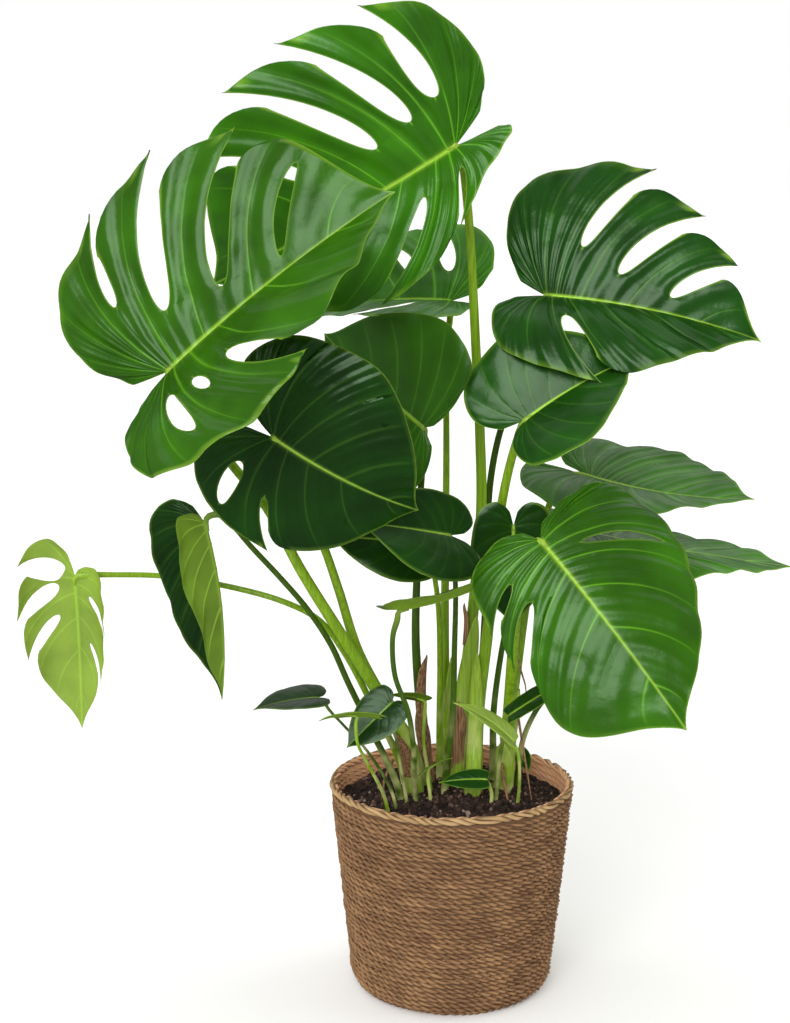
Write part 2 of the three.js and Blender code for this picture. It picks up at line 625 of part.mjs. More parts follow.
// A cup of seagrass rope, with a groove between each two rows
function basketMesh() {
  const { flatRadius, cornerWidth, cornerHeight, footHeight, floor, wall } = basket;
  const { wallTop, ropeRows, ropeDepth } = basket;
  const profile = [[0, 0], [flatRadius, 0], [flatRadius + cornerWidth, cornerHeight]];
  const row = (wallTop - footHeight) / ropeRows;
  for (let i = 0; i < ropeRows; i += 1) {
    const z = footHeight + i * row;
    profile.push([wallRadius(z) - ropeDepth, z], [wallRadius(z + row / 2), z + row / 2]);
  }
  profile.push([wallRadius(wallTop) - ropeDepth, wallTop]);
  profile.push([wallRadius(wallTop) - wall, wallTop]);
  profile.push([wallRadius(footHeight + floor) - wall, footHeight + floor]);
  profile.push([flatRadius - 2, floor], [0, floor]);
  return closedMesh('basket', lathe(profile, basket.turns), 'seagrass');
}

// The rim is a rope of two twisted plies laid on the wall
function braidMesh() {
  const { radius, height, thickness, lump, plies, turns, sides } = braid;
  const points = [];
  const faces = [];
  for (let i = 0; i < turns; i += 1) {
    const round = 2 * Math.PI * i / turns;
    for (let side = 0; side < sides; side += 1) {
      const angle = 2 * Math.PI * side / sides;
      const reach = thickness * (1 - lump + lump * Math.cos(2 * angle - plies * round));
      const out = radius + reach * Math.cos(angle);
      const up = height + reach * Math.sin(angle);
      points.push(new THREE.Vector3(out * Math.cos(round), out * Math.sin(round), up));
    }
  }
  const ring = (i, side) => (i % turns) * sides + side % sides;
  for (let i = 0; i < turns; i += 1) {
    for (let side = 0; side < sides; side += 1) {
      faces.push([ring(i, side), ring(i + 1, side), ring(i + 1, side + 1)]);
      faces.push([ring(i, side), ring(i + 1, side + 1), ring(i, side + 1)]);
    }
  }
  return closedMesh('rim_braid', indexedGeometry(points, faces), 'seagrassPale');
}

// Potting soil fills the basket, with a plain hole for each stem
function soilMesh() {
  const { gap, edge, crown, turns, mound } = soil;
  const { flatRadius, footHeight, floor, wall } = basket;
  const inner = (z) => wallRadius(z) - wall - gap;
  const low = footHeight + floor + 2 * gap;
  const profile = [
    [0, floor + gap],
    [flatRadius - 2 - 2 * gap, floor + gap],
    [inner(low), low],
    ...mound.map(([out, up]) => [inner(edge) * out, edge + (crown - edge) * up]),
    [0, crown],
  ];
  let body = toSolid(lathe(profile, turns));
  for (const leaf of leaves) {
    body = body.subtract(toSolid(stemGeometry(leaf, joinGap)));
  }
  return closedMesh('soil', fromSolid(largestPiece(body)), 'soil');
}

const plant = new THREE.Group();
plant.add(basketMesh(), braidMesh(), soilMesh());
for (const leaf of leaves) {
  plant.add(...leafMeshes(leaf));
}

export default plant;
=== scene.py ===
"""Fine form and finish of a potted swiss cheese plant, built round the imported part."""

import math
from typing import NamedTuple

import bpy
import numpy as np
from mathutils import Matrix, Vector, noise


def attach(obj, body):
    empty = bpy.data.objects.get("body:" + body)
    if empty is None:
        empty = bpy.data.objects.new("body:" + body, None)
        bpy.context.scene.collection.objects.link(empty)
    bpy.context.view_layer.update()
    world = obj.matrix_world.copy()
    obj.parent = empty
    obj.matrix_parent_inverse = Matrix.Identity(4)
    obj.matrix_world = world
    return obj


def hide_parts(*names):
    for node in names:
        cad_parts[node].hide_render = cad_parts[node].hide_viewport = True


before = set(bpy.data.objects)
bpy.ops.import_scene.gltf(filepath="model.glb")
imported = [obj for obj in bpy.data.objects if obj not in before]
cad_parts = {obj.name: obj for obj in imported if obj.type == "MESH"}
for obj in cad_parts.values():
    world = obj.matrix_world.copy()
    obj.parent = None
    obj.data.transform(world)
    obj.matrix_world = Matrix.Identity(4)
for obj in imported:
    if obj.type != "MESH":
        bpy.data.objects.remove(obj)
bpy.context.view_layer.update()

bl_info = {
    "name": "Potted swiss cheese plant",
    "version": (1, 0, 0),
    "blender": (4, 5, 0),
    "location": "View3D > Sidebar > Plant",
    "description": "Builds the leaves, stems, soil and seagrass basket of a potted swiss cheese plant",
    "category": "Add Mesh",
}

# Sizes below are millimetres, as in the part's source, and points are turned to metres when a mesh is made.
MM = 0.001

# The outline of one half of a blade, from behind the foot round to the tip.
# Each point is a share of the midrib, or of the lobe where it is negative, and a share of the half width.
RIM = [(0, 0), (-0.62, 0.1), (-1, 0.42), (-0.55, 0.84), (0.24, 1), (0.52, 0.84), (0.8, 0.46), (1, 0)]
FULL = [(0, 0), (-0.62, 0.1), (-1, 0.42), (-0.55, 0.84), (0.22, 1), (0.55, 0.96), (0.82, 0.62), (1, 0)]
SQUARE = [(0, 0), (-0.62, 0.1), (-1, 0.42), (-0.5, 0.84), (0.2, 1), (0.52, 1.02), (0.8, 0.92), (1, 0)]
ROLLED = [(0, 0), (-0.8, 0.06), (-0.9, 0.16), (-0.2, 0.36), (0.24, 0.8), (0.55, 0.84), (0.8, 0.46), (1, 0)]
# The blade's mesh starts here round the rim: before it, every vein lies on the edge beside the stalk
RIM_START = 0.125
# Veins to the first part of the rim all leave the midrib at its foot, and the others ever further along it
FAN = 0.35
FOOT_POWER = 2.8
# A vein bows by a share of its length, and sweeps towards the tip as it nears the margin
VEIN_BOW = {"most": 0.12, "start": 0.1, "range": 0.5, "lobe": -0.2}
VEIN_SWEEP = 0.12
# Share of the rim from one side vein to the next
VEIN_PITCH = 0.1
# Rows of the blade's mesh lie closer together near the midrib, and the last but one lies close to the margin
ROW_POWER = 1.15
LAST_ROW = 0.988
LAST_ROW_BESIDE_CUT = 0.99
# The margin waves by a share of the blade's length, and less where the blade is narrower than full_reach.
# The wave goes through 21 radians round a half, and starts at another place on each half.
MARGIN_WAVE = {"height": 0.014, "radians": 21, "phase": 2, "full_reach": 60}
# The last tenth of a blade is drawn out and narrowed into a point
TIP = {"start": 0.9, "draw": 0.05, "narrowing": 0.35}
# The corner behind a cut is round, and the one in front of it runs out into a point.
# Each has its depth as a share of the way out to the margin, and its reach as a share of the rim.
ROUND_CORNER = (-0.2, 0.065)
POINTED_CORNER = (0.04, 0.05)

# How far a cut closes again at the margin
OPEN = 0.72
NARROW = 0.93
CLOSING = 0.84
WIDE_OPEN = 0.5


class Cut(NamedTuple):
    """A split in a blade, or a hole if it has an end: where it lies round the rim, where it starts between
    midrib and margin, its width, and how far it closes at the margin or else where it ends."""

    place: float
    start: float
    width: float
    closing: float = OPEN
    end: float = None


class Half(NamedTuple):
    """One half of a blade: its width, its lobe behind the foot, how it rises and curls, and its cuts."""

    width: float
    lobe: float
    rise: float
    curl: float
    cuts: list = []
    shape: list = RIM


class Leaf(NamedTuple):
    """A leaf: where the stem meets the blade, how the blade lies, its two halves,
    and its stem down to the soil with the radius at the top and the base."""

    name: str
    size: str
    finish: str
    stem_finish: str
    at: tuple
    heading: float
    pitch: float
    roll: float
    length: float
    bend: float
    left: Half
    right: Half
    stem: list
    radius: tuple


# The dark stalk finish is painted shade, for the stalks that stand in the shade inside the plant
LEAVES = [
    Leaf("upper_left", "large", "fresh_green", "stem_green",
         at=(-262, -165, 650), heading=-12, pitch=43, roll=53, length=248, bend=15,
         left=Half(162, 56, 34, -18,
                   [Cut(0.5, 0.5, 13, NARROW), Cut(0.64, 0.24, 27), Cut(0.78, 0.16, 24),
                    Cut(0.88, 0.12, 13, end=0.86)], shape=FULL),
         right=Half(157, 59, 31, -27,
                    [Cut(0.5, 0.32, 20, end=0.8), Cut(0.6, 0.34, 12, end=0.54), Cut(0.7, 0.4, 24)]),
         stem=[(-259, -156, 638), (-238, -142, 605), (-211, -130, 563), (-177, -122, 517),
               (-147, -108, 456), (-106, -84, 380), (-69, -50, 310), (-48, -22, 255), (-38, -5, 207)],
         radius=(4, 8)),
    Leaf("top", "large", "mid_green", "stem_green",
         at=(0, -20, 851), heading=184, pitch=-32, roll=-98, length=270, bend=28,
         left=Half(116, 56, 52, -34,
                    [Cut(0.5, 0.34, 18), Cut(0.66, 0.26, 18), Cut(0.8, 0.3, 14)], shape=ROLLED),
         right=Half(164, 60, 12, -18,
                    [Cut(0.48, 0.34, 25, CLOSING), Cut(0.6, 0.25, 23, CLOSING), Cut(0.71, 0.22, 21, CLOSING),
                     Cut(0.82, 0.3, 15, CLOSING)], shape=FULL),
         stem=[(6, -14, 844), (9, -5, 824), (15, 8, 768), (19, 14, 709), (23, 18, 640), (27, 20, 569),
               (29, 20, 498), (25, 20, 426), (18, 18, 354), (10, 14, 281), (5, 12, 207)],
         radius=(4, 7)),
    Leaf("upper_right", "large", "dark_green", "stem_dark",
         at=(90, 20, 706), heading=-12, pitch=-3, roll=38, length=208, bend=21,
         left=Half(150, 42, 44, -33,
                    [Cut(0.63, 0.34, 16), Cut(0.76, 0.24, 18), Cut(0.87, 0.22, 16)]),
         right=Half(112, 44, 34, -70, [Cut(0.6, 0.36, 20)]),
         stem=[(87, 28, 698), (80, 34, 668), (63, 40, 607), (48, 45, 566), (38, 48, 504),
               (37, 48, 431), (34, 48, 346), (29, 45, 283), (25, 42, 210)],
         radius=(3, 5.5)),
    Leaf("centre_left", "large", "dark_green", "stem_green",
         at=(-167, -188, 594), heading=-8, pitch=-34, roll=100, length=150, bend=40,
         left=Half(108, 58, 8, -25),
         right=Half(105, 60, 6, -22, [Cut(0.46, 0.4, 18, end=0.88), Cut(0.6, 0.5, 8)]),
         stem=[(-165, -176, 586), (-153, -146, 553), (-127, -112, 484), (-112, -86, 432),
               (-95, -54, 365), (-71, -22, 308), (-46, 0, 255), (-31, 14, 206)],
         radius=(3.5, 6.5)),
    Leaf("front_right", "large", "fresh_green", "stem_green",
         at=(76, -150, 493), heading=-40, pitch=-40, roll=42, length=208, bend=20,
         left=Half(128, 22, 6, -50, [Cut(0.62, 0.22, 9, end=0.82)]),
         right=Half(92, 26, -2, -34, [Cut(0.55, 0.5, 12), Cut(0.65, 0.42, 26, WIDE_OPEN)], shape=SQUARE),
         stem=[(70, -138, 481), (62, -108, 443), (57, -76, 384), (57, -30, 312), (56, 0, 253),
               (54, 6, 209)],
         radius=(4, 9)),
    Leaf("back_centre", "middle", "grey_green", "stem_dark",
         at=(-30, -20, 580), heading=153, pitch=35, roll=-89, length=145, bend=16,
         left=Half(100, 30, 14, -25),
         right=Half(100, 14, 15, -24),
         stem=[(-30, -14, 568), (-31, -10, 540), (-34, -8, 489), (-36, -4, 431), (-37, 2, 362),
               (-33, 14, 296), (-24, 30, 212)],
         radius=(3, 5.5)),
    Leaf("centre_right", "middle", "dark_green", "stem_green",
         at=(66, -60, 592), heading=0, pitch=38, roll=46, length=119, bend=26,
         left=Half(80, 37, 30, -12),
         right=Half(78, 24, 25, -19),
         stem=[(64, -52, 583), (56, -43, 556), (46, -34, 504), (41, -23, 440), (34, -8, 363),
               (27, 0, 295), (22, -12, 209)],
         radius=(4, 8)),
    Leaf("right_back", "middle", "grey_green", "stem_green",
         at=(145, 90, 514), heading=-27, pitch=-12, roll=7, length=170, bend=-17,
         left=Half(105, 54, 18, -21),
         right=Half(106, 58, 17, -39),
         stem=[(128, 86, 516), (115, 80, 513), (105, 74, 495), (93, 68, 458), (80, 58, 397),
               (70, 48, 325), (62, 38, 263), (59, 34, 208)],
         radius=(3.2, 5.5)),
    Leaf("right_low", "middle", "grey_green", "stem_dark",
         at=(143, 60, 460), heading=-2, pitch=-12, roll=2, length=204, bend=-5,
         left=Half(122, 60, 9, -22),
         right=Half(122, 59, 11, -22),
         stem=[(137, 62, 444), (130, 60, 386), (116, 50, 311), (88, 38, 276), (74, 24, 249),
               (68, 20, 206)],
         radius=(2.2, 3.2)),
    Leaf("middle", "middle", "dark_green", "stem_dark",
         at=(-6, -95, 487), heading=205, pitch=14, roll=-52, length=92, bend=8,
         left=Half(57, 27, 20, -24),
         right=Half(46, 26, 16, -20),
         stem=[(-3, -84, 473), (1, -62, 424), (1, -36, 357), (0, -20, 287), (-7, -12, 209)],
         radius=(2.4, 4)),
    Leaf("middle_back", "small", "dark_green", "stem_green",
         at=(-29, -50, 470), heading=196, pitch=9, roll=-72, length=92, bend=18,
         left=Half(42, 12, 20, -14),
         right=Half(42, 12, 17, -20),
         stem=[(-23, -40, 452), (-15, -12, 402), (-12, 14, 334), (-12, 28, 267), (-11, 40, 213)],
         radius=(2.4, 3.8)),
    Leaf("right_inner", "small", "dark_green", "stem_dark",
         at=(57, -52, 488), heading=-90, pitch=-92, roll=0, length=100, bend=12,
         left=Half(42, 24, 14, -22),
         right=Half(42, 24, 14, -22),
         stem=[(54, -44, 477), (60, -34, 440), (58, -10, 400), (50, 6, 348), (43, 14, 281),
               (43, 26, 208)],
         radius=(2.4, 3.8)),
    Leaf("curled", "middle", "olive", "stem_dark",
         at=(-54, -130, 423), heading=10, pitch=5, roll=-16, length=98, bend=-20,
         left=Half(56, 18, 18, -20),
         right=Half(50, 18, 18, -20),
         stem=[(-56, -125, 411), (-60, -121, 395), (-58, -116, 355), (-46, -112, 320), (-40, -86, 275),
               (-38, -34, 214)],
         radius=(2.4, 2.8)),
    Leaf("left_folded", "middle", "dark_green", "stem_dark",
         at=(-238, -100, 500), heading=180, pitch=-105, roll=0, length=166, bend=-20,
         left=Half(36, 14, 62, -10),
         right=Half(66, 30, 77, -20),
         stem=[(-235, -103, 506), (-231, -104, 508), (-224, -105, 509), (-214, -106, 502),
               (-193, -105, 477), (-167, -100, 447), (-143, -92, 416), (-121, -82, 379),
               (-104, -66, 335), (-85, -46, 288), (-55, -32, 216)],
         radius=(2.6, 3.4)),
    Leaf("far_left", "middle", "lime", "stem_green",
         at=(-369, -60, 440), heading=84, pitch=-80, roll=0, length=150, bend=12,
         left=Half(64, 38, 20, -82,
                   [Cut(0.44, 0.2, 26), Cut(0.58, 0.25, 20), Cut(0.72, 0.3, 14)]),
         right=Half(36, 10, 14, -76, [Cut(0.62, 0.3, 12), Cut(0.8, 0.35, 9)]),
         stem=[(-359, -60, 441), (-334, -54, 440), (-284, -42, 436), (-221, -36, 424),
               (-168, -40, 410), (-134, -36, 391), (-110, -22, 356), (-81, 0, 293), (-51, 24, 219)],
         radius=(2.6, 3.6)),
    Leaf("small_left", "small", "dark_green", "stem_dark",
         at=(-132, -110, 332), heading=190, pitch=0, roll=-8, length=60, bend=17,
         left=Half(30, 10, 16, -20),
         right=Half(30, 10, 14, -22),
         stem=[(-127, -106, 327), (-121, -98, 316), (-106, -76, 292), (-84, -62, 262), (-61, -52, 218)],
         radius=(1.3, 1.7)),
    Leaf("small_olive", "small", "olive", "stem_green",
         at=(-94, -130, 321), heading=190, pitch=4, roll=22, length=36, bend=20,
         left=Half(22, 26, 10, -20),
         right=Half(22, 26, 10, -20),
         stem=[(-95, -128, 313), (-94, -122, 292), (-86, -100, 266), (-69, -62, 218)],
         radius=(1.4, 1.8)),
    Leaf("small_dark", "small", "dark_green", "stem_dark",
         at=(-62, -88, 320), heading=200, pitch=-40, roll=-50, length=58, bend=10,
         left=Half(24, 10, 14, -20),
         right=Half(24, 10, 14, -20),
         stem=[(-60, -82, 311), (-57, -66, 278), (-48, -46, 217)],
         radius=(1.4, 1.8)),
    Leaf("small_lime", "small", "lime", "stem_green",
         at=(57, -84, 281), heading=192, pitch=48, roll=-30, length=68, bend=30,
         left=Half(14, 3, 20, -20),
         right=Half(14, 3, 20, -20),
         stem=[(62, -77, 268), (65, -48, 209)],
         radius=(1.4, 1.8)),
    Leaf("soil_dark", "small", "dark_green", "stem_green",
         at=(33, -45, 229), heading=184, pitch=4, roll=-40, length=46, bend=24,
         left=Half(12, 3, 12, -20),
         right=Half(12, 3, 12, -20),
         stem=[(37, -43, 220), (39, -42, 211)],
         radius=(1.4, 1.6)),
    Leaf("soil_olive", "small", "olive", "stem_green",
         at=(-25, -40, 239), heading=20, pitch=30, roll=-20, length=26, bend=24,
         left=Half(8, 12, 12, -20),
         right=Half(8, 12, 12, -20),
         stem=[(-25, -38, 229), (-23, -38, 212)],
         radius=(1.4, 1.6)),
    Leaf("small_edge", "small", "dark_green", "stem_green",
         at=(-28, -20, 304), heading=196, pitch=22, roll=30, length=42, bend=24,
         left=Half(13, 4, 14, -20),
         right=Half(13, 4, 14, -20),
         stem=[(-28, -20, 292), (-29, -18, 258), (-22, -9, 211)],
         radius=(1.6, 2)),
    Leaf("top_back", "middle", "mid_green", "stem_green",
         at=(-1, 100, 695), heading=164, pitch=3, roll=-20, length=185, bend=21,
         left=Half(114, 37, 26, -19, [Cut(0.6, 0.4, 14)]),
         right=Half(118, 32, 29, -15,
                    [Cut(0.55, 0.34, 20), Cut(0.7, 0.3, 14, end=0.75), Cut(0.84, 0.24, 14)]),
         stem=[(-1, 98, 683), (-4, 92, 648), (-5, 84, 592), (-5, 74, 520), (-6, 62, 428),
               (-6, 56, 334), (-5, 58, 261), (-3, 62, 208)],
         radius=(2.8, 5.5)),
    Leaf("narrow_right", "small", "dark_green", "stem_dark",
         at=(56, -52, 298), heading=-4, pitch=36, roll=26, length=92, bend=10,
         left=Half(15, 4, 16, -20),
         right=Half(15, 4, 16, -20),
         stem=[(53, -49, 287), (47, -38, 250), (44, -31, 208)],
         radius=(1.8, 2.2)),
    Leaf("rim_right", "small", "dark_green", "stem_green",
         at=(71, 54, 228), heading=-60, pitch=-30, roll=10, length=26, bend=24,
         left=Half(10, 3, 14, -20),
         right=Half(10, 3, 14, -20),
         stem=[(66, 54, 222), (56, 54, 210)],
         radius=(1.4, 1.6)),
]

# How bright some leaves are beside the others of their finish: partly their own colour, and partly painted
# light and shade, darker for leaves low inside the plant and brighter for the back leaf that light shines
# through
LEAF_TONES_AND_PAINTED_LIGHT = {
    "top": 1.15, "upper_right": 1.4, "centre_left": 0.9, "back_centre": 0.7, "centre_right": 1.5,
    "right_low": 1.4, "middle": 0.85, "right_inner": 0.9, "curled": 0.7, "left_folded": 0.75,
    "small_left": 0.55, "small_dark": 0.6, "small_lime": 1.2, "top_back": 1.35,
}
# How pale the side veins of a finish are beside the others
VEIN_SHARES = {"dark_green": 0.6, "grey_green": 0.7}
# How deep the quilting of a blade is, where it isn't 1
RELIEFS = {"upper_left": 1.35, "front_right": 0.75, "top": 1.2, "centre_left": 0.6, "back_centre": 0.6}


class Sheath(NamedTuple):
    """A sheath at the foot of a stalk: its leaf, from which height to which, the side it faces in degrees
    from +X, how far round it wraps in degrees, and how far its point stands off."""

    name: str
    leaf: str
    low: float
    high: float
    facing: float
    wrap: float
    flare: float


GREEN_SHEATHS = [
    Sheath("top", "top", 184, 386, -70, 230, 5),
    Sheath("upper_left", "upper_left", 184, 318, -20, 220, 4),
    Sheath("centre_left", "centre_left", 184, 300, -60, 200, 4),
    Sheath("front_right", "front_right", 184, 258, -120, 230, 3),
    Sheath("centre_right", "centre_right", 184, 352, -140, 220, 5),
    Sheath("top_back", "top_back", 184, 330, -40, 200, 4),
    Sheath("right_back", "right_back", 184, 300, -60, 200, 4),
]
DRY_SHEATHS = [
    Sheath("back_centre_dry", "back_centre", 262, 346, -30, 200, 7),
    Sheath("back_centre_foot", "back_centre", 184, 292, -100, 240, 3),
    Sheath("top_dry", "top", 214, 296, -110, 170, 6),
    Sheath("top_scrap", "top", 352, 396, -150, 90, 5),
    Sheath("upper_left_dry", "upper_left", 222, 276, -100, 120, 5),
]
# Roots that hang beside the stalks or go down into the soil, as points and a radius
ROOTS = [
    ([(66, -12, 344), (69, -16, 332), (73, -18, 318), (74, -18, 305)], 1.1),
    ([(64, -10, 300), (70, -22, 262), (76, -30, 226), (80, -36, 200)], 1.4),
    ([(50, -8, 234), (52, -18, 220), (55, -26, 206), (57, -30, 196)], 2.0),
    ([(-60, -14, 240), (-68, -22, 222), (-72, -28, 200)], 1.6),
    ([(22, 4, 232), (28, -12, 216), (33, -20, 198)], 1.5),
]
# Heights of the rings where an old leaf has come away
NODE_RINGS = {"front_right": 260, "centre_right": 244}

# Rows of the blade mesh from midrib to margin, and its columns round one half
BLADE_MESH = {"large": (30, 96), "middle": (22, 64), "small": (14, 36)}
# Sides of a stalk and of a root
STALK_SIDES = 16
ROOT_SIDES = 7
# The colour of a stalk changes with its height from here on, over this much
STALK_COLOUR_FROM = 200
STALK_COLOUR_RANGE = 400
# Where a stalk leaves the soil
SOIL_TOP = 207

# The outside of the basket's wall: it flares from its foot to its top, and the corner below it is round
FOOT_RADIUS = 104
FOOT_HEIGHT = 12
WALL_RISE = 195.7
WALL_FLARE = 20.5
CORNER_HEIGHT = 16
CORNER_DEPTH = 12
# The lowest and highest rows of cord in the wall, and how far their middle lies inside its outer face
ROW_HEIGHTS = (3.0, 208.0)
CORD_INSET = 3.4
# A thin wall within the cords closes the gaps between them, from one depth in the wall to the other. It is a
# dark sheet in the painted groove shade, put where there is only shade between the cords.
CORE_HEIGHTS = (2.0, 209.0)
CORE_OUTSIDE = 3.6
CORE_INSIDE = 4.6
# Rings of cord in the base: the first, the limit of the last, and the step between them
BASE_RADII = (6.0, 92.0, 5.6)
BASE_HEIGHT = 3.4
# The plaited rim on top of the wall
PLAIT_RADIUS = 120.5
PLAIT_HEIGHT = 211.6

# The soil fills the basket in a low mound, given by its heights at shares of the mound's radius
SOIL_RADIUS = 113.5
MOUND_RADIUS = 114
MOUND_SHARES = [0, 0.35, 0.7, 1]
MOUND_HEIGHTS = [203, 203, 200.5, 194]
# Loose bits lie on the soil up to here
BITS_RADIUS = 109

# The camera stands in front of the plant, in metres, and is tilted up from straight down, in degrees
CAMERA_PLACE = (-0.058, -1.870, 0.830)
CAMERA_TILT = 79.78
SENSOR_WIDTH = 36.0
# The floor goes on for 30 metres on all sides
FLOOR_REACH = 30.0


def linear(hex_colour):
    """An sRGB hex colour as linear red, green, blue and alpha."""
    channels = [int(hex_colour[i:i + 2], 16) / 255 for i in (1, 3, 5)]
    return [c / 12.92 if c <= 0.04045 else ((c + 0.055) / 1.055) ** 2.4 for c in channels] + [1.0]


def darker(colour, share):
    """A colour at a share of its brightness."""
    return [channel * share for channel in colour[:3]] + [1.0]


def add(tree, kind, inputs=None, result=None, **settings):
    """Adds a shader node with its settings, and gives its first output or the one that result names.
    An input has a name or a number, and takes a value, or a link where that is another node's output."""
    made = tree.nodes.new("ShaderNode" + kind)
    for key, value in settings.items():
        setattr(made, key, value)
    for key, value in (inputs or {}).items():
        socket = next(s for i, s in enumerate(made.inputs) if key == i or (key == s.name and s.enabled))
        if isinstance(value, bpy.types.NodeSocket):
            tree.links.new(value, socket)
        else:
            socket.default_value = value
    return made.outputs[result] if result else next((s for s in made.outputs if s.enabled), None)


def new_material(name):
    """An empty node material and its tree."""
    material = bpy.data.materials.new(name)
    material.use_nodes = True
    material.node_tree.nodes.clear()
    return material, material.node_tree


def near(distance, width):
    """1 at no distance, falling smoothly to 0 beyond the width."""
    return np.exp(-((distance / width) ** 2))


def up_to_one(value):
    """The value, kept between 0 and 1."""
    return np.clip(value, 0, 1)


def round_angles(count):
    """Even angles round a circle."""
    return np.linspace(0, 2 * math.pi, count, endpoint=False)


def ring_quads(rings, sides, closed=False):
    """The corners of each face between rings of points, and between the last and the first if closed."""
    index = np.arange(rings * sides).reshape(rings, sides)
    if closed:
        index = np.concatenate([index, index[:1]])
    beside = np.roll(index, -1, axis=1)
    return np.stack([index[:-1], beside[:-1], beside[1:], index[1:]], -1).reshape(-1, 4)


def hermite(a, b, slope_a, slope_b, f):
    """The point a share f along the smooth curve from a to b with these slopes at its ends."""
    return ((2 * a - 2 * b + slope_a + slope_b) * f**3 + (3 * b - 3 * a - 2 * slope_a - slope_b) * f**2
            + slope_a * f + a)


def make_piece(name, points, faces, materials, stands_for=(), attributes=None, face_materials=None):
    """A smooth mesh piece from points in millimetres, which rides on the part.
    Stands_for names the nodes of the part that it replaces."""
    mesh = bpy.data.meshes.new(name)
    mesh.from_pydata((np.asarray(points, float) * MM).tolist(), [], faces)
    for key, values in (attributes or {}).items():
        layer = mesh.attributes.new(key, "FLOAT", "POINT")
        layer.data.foreach_set("value", np.asarray(values, np.float32))
    for material in materials:
        mesh.materials.append(material)
    if face_materials:
        mesh.polygons.foreach_set("material_index", np.asarray(face_materials, np.int32))
    mesh.shade_smooth()
    mesh.update()
    piece = bpy.data.objects.new(name, mesh)
    bpy.context.scene.collection.objects.link(piece)
    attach(piece, "root")
    if stands_for:
        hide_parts(*stands_for)


def weld(points, *values):
    """Joins points that coincide. Gives the points, their values and the new index of each old point."""
    _, first, index = np.unique(np.round(points, 4), axis=0, return_index=True, return_inverse=True)
    return points[first], [value[first] for value in values], index.reshape(-1)


# Blades


def spline(points, s):
    """A curve through evenly timed points, at each s from 0 to 1."""
    points = np.asarray(points, float)
    last = len(points) - 1
    place = np.clip(s, 0, 1) * last
    i = np.minimum(place.astype(int), last - 1)
    f = (place - i)[..., None]
    before, a, b, after = (points[np.clip(i + step, 0, last)] for step in (-1, 0, 1, 2))
    return hermite(a, b, (b - before) / 2, (after - a) / 2, f)


def rim_points(half, length, s):
    """The margin at s, measured from the foot: x along the midrib and y across it."""
    return spline([(x * (half.lobe if x < 0 else length), y * half.width) for x, y in half.shape], s)


def flat_points(half, length, s, t):
    """The flat half blade: s runs round the rim, and t runs out along a bowed vein."""
    rim = rim_points(half, length, s + VEIN_SWEEP * s * (1 - s) * t * t)
    foot = np.stack([length * up_to_one((s - FAN) / (1 - FAN)) ** FOOT_POWER, 0 * s], -1)
    vein = rim - foot
    bow = VEIN_BOW["most"] * np.clip((s - VEIN_BOW["start"]) / VEIN_BOW["range"], VEIN_BOW["lobe"], 1)
    middle = foot + vein / 2 + np.stack([-vein[..., 1], vein[..., 0]], -1) * bow[..., None]
    t = t[..., None]
    return (1 - t) ** 2 * foot + 2 * t * (1 - t) * middle + t * t * rim


def blade_frame(leaf):
    """The midrib's direction, the way to the left half and the upper face's normal."""
    heading, pitch, roll = (math.radians(v) for v in (leaf.heading, leaf.pitch, leaf.roll))
    level = np.array([math.cos(heading), math.sin(heading), 0])
    along = level * math.cos(pitch) + [0, 0, math.sin(pitch)]
    up = -level * math.sin(pitch) + [0, 0, math.cos(pitch)]
    left = np.cross(up, along)
    return along, left * math.cos(roll) + up * math.sin(roll), up * math.cos(roll) - left * math.sin(roll)


def turned_up(leaf, x):
    """The upper face's normal at x along the drooping midrib."""
    along, _, up = blade_frame(leaf)
    turn = (math.radians(leaf.bend) / leaf.length * x)[..., None]
    return up * np.cos(turn) + along * np.sin(turn)


def bent_points(leaf, side, flat, wave):
    """Bends flat points: the midrib droops along its length, and each half rises from it and curls over."""
    along, left, up = blade_frame(leaf)
    half = leaf.left if side > 0 else leaf.right
    bend = math.radians(leaf.bend) / leaf.length
    rise = math.radians(half.rise)
    curl = math.radians(half.curl) / half.width
    turn = bend * flat[..., 0]
    steep = rise + curl * flat[..., 1]
    return (
        np.asarray(leaf.at, float)
        + (np.sin(turn) / bend)[..., None] * along
        + ((np.cos(turn) - 1) / bend)[..., None] * up
        + (side * (np.sin(steep) - math.sin(rise)) / curl)[..., None] * left
        + ((math.cos(rise) - np.cos(steep)) / curl + wave)[..., None] * turned_up(leaf, flat[..., 0])
    )


def cut_width(cut, t):
    """How wide a cut is at t."""
    share = up_to_one((t - cut.start) / ((cut.end or 1) - cut.start))
    if cut.end:
        return cut.width * np.sqrt(4 * share * (1 - share))
    return cut.width * np.sin(math.pi * cut.closing * np.sqrt(share))


def cut_levels(cut, levels):
    """The rows moved so that the ends of a cut fall on a row, and closer together where it is round."""
    if cut is None:
        return levels
    last = len(levels) - 1
    first = max(int(np.abs(levels - cut.start).argmin()), 1)
    moved = levels * cut.start / levels[first]
    if cut.end:
        closed = min(max(int(np.abs(levels - cut.end).argmin()), first + 4), last - 1)
        share = np.arange(closed - first + 1) / (closed - first)
        moved[first:closed + 1] = cut.start + (cut.end - cut.start) * (1 - np.cos(math.pi * share)) / 2
        moved[closed:] = np.linspace(cut.end, LAST_ROW_BESIDE_CUT, last + 1 - closed)
    else:
        share = np.arange(last - first + 1) / (last - 1 - first)
        moved[first:] = cut.start + (1 - cut.start) * LAST_ROW_BESIDE_CUT * share**1.7
    moved[last] = 1
    return moved


def cut_edge(half, length, cut, t, way):
    """Where round the rim the edge of a cut lies at each row, on the side that way gives."""
    s = np.full_like(t, cut.place)
    step = 0.01
    across = flat_points(half, length, s + step, t) - flat_points(half, length, s - step, t)
    return s + way * step * cut_width(cut, t) / np.maximum(np.linalg.norm(across, axis=-1), 1e-6)


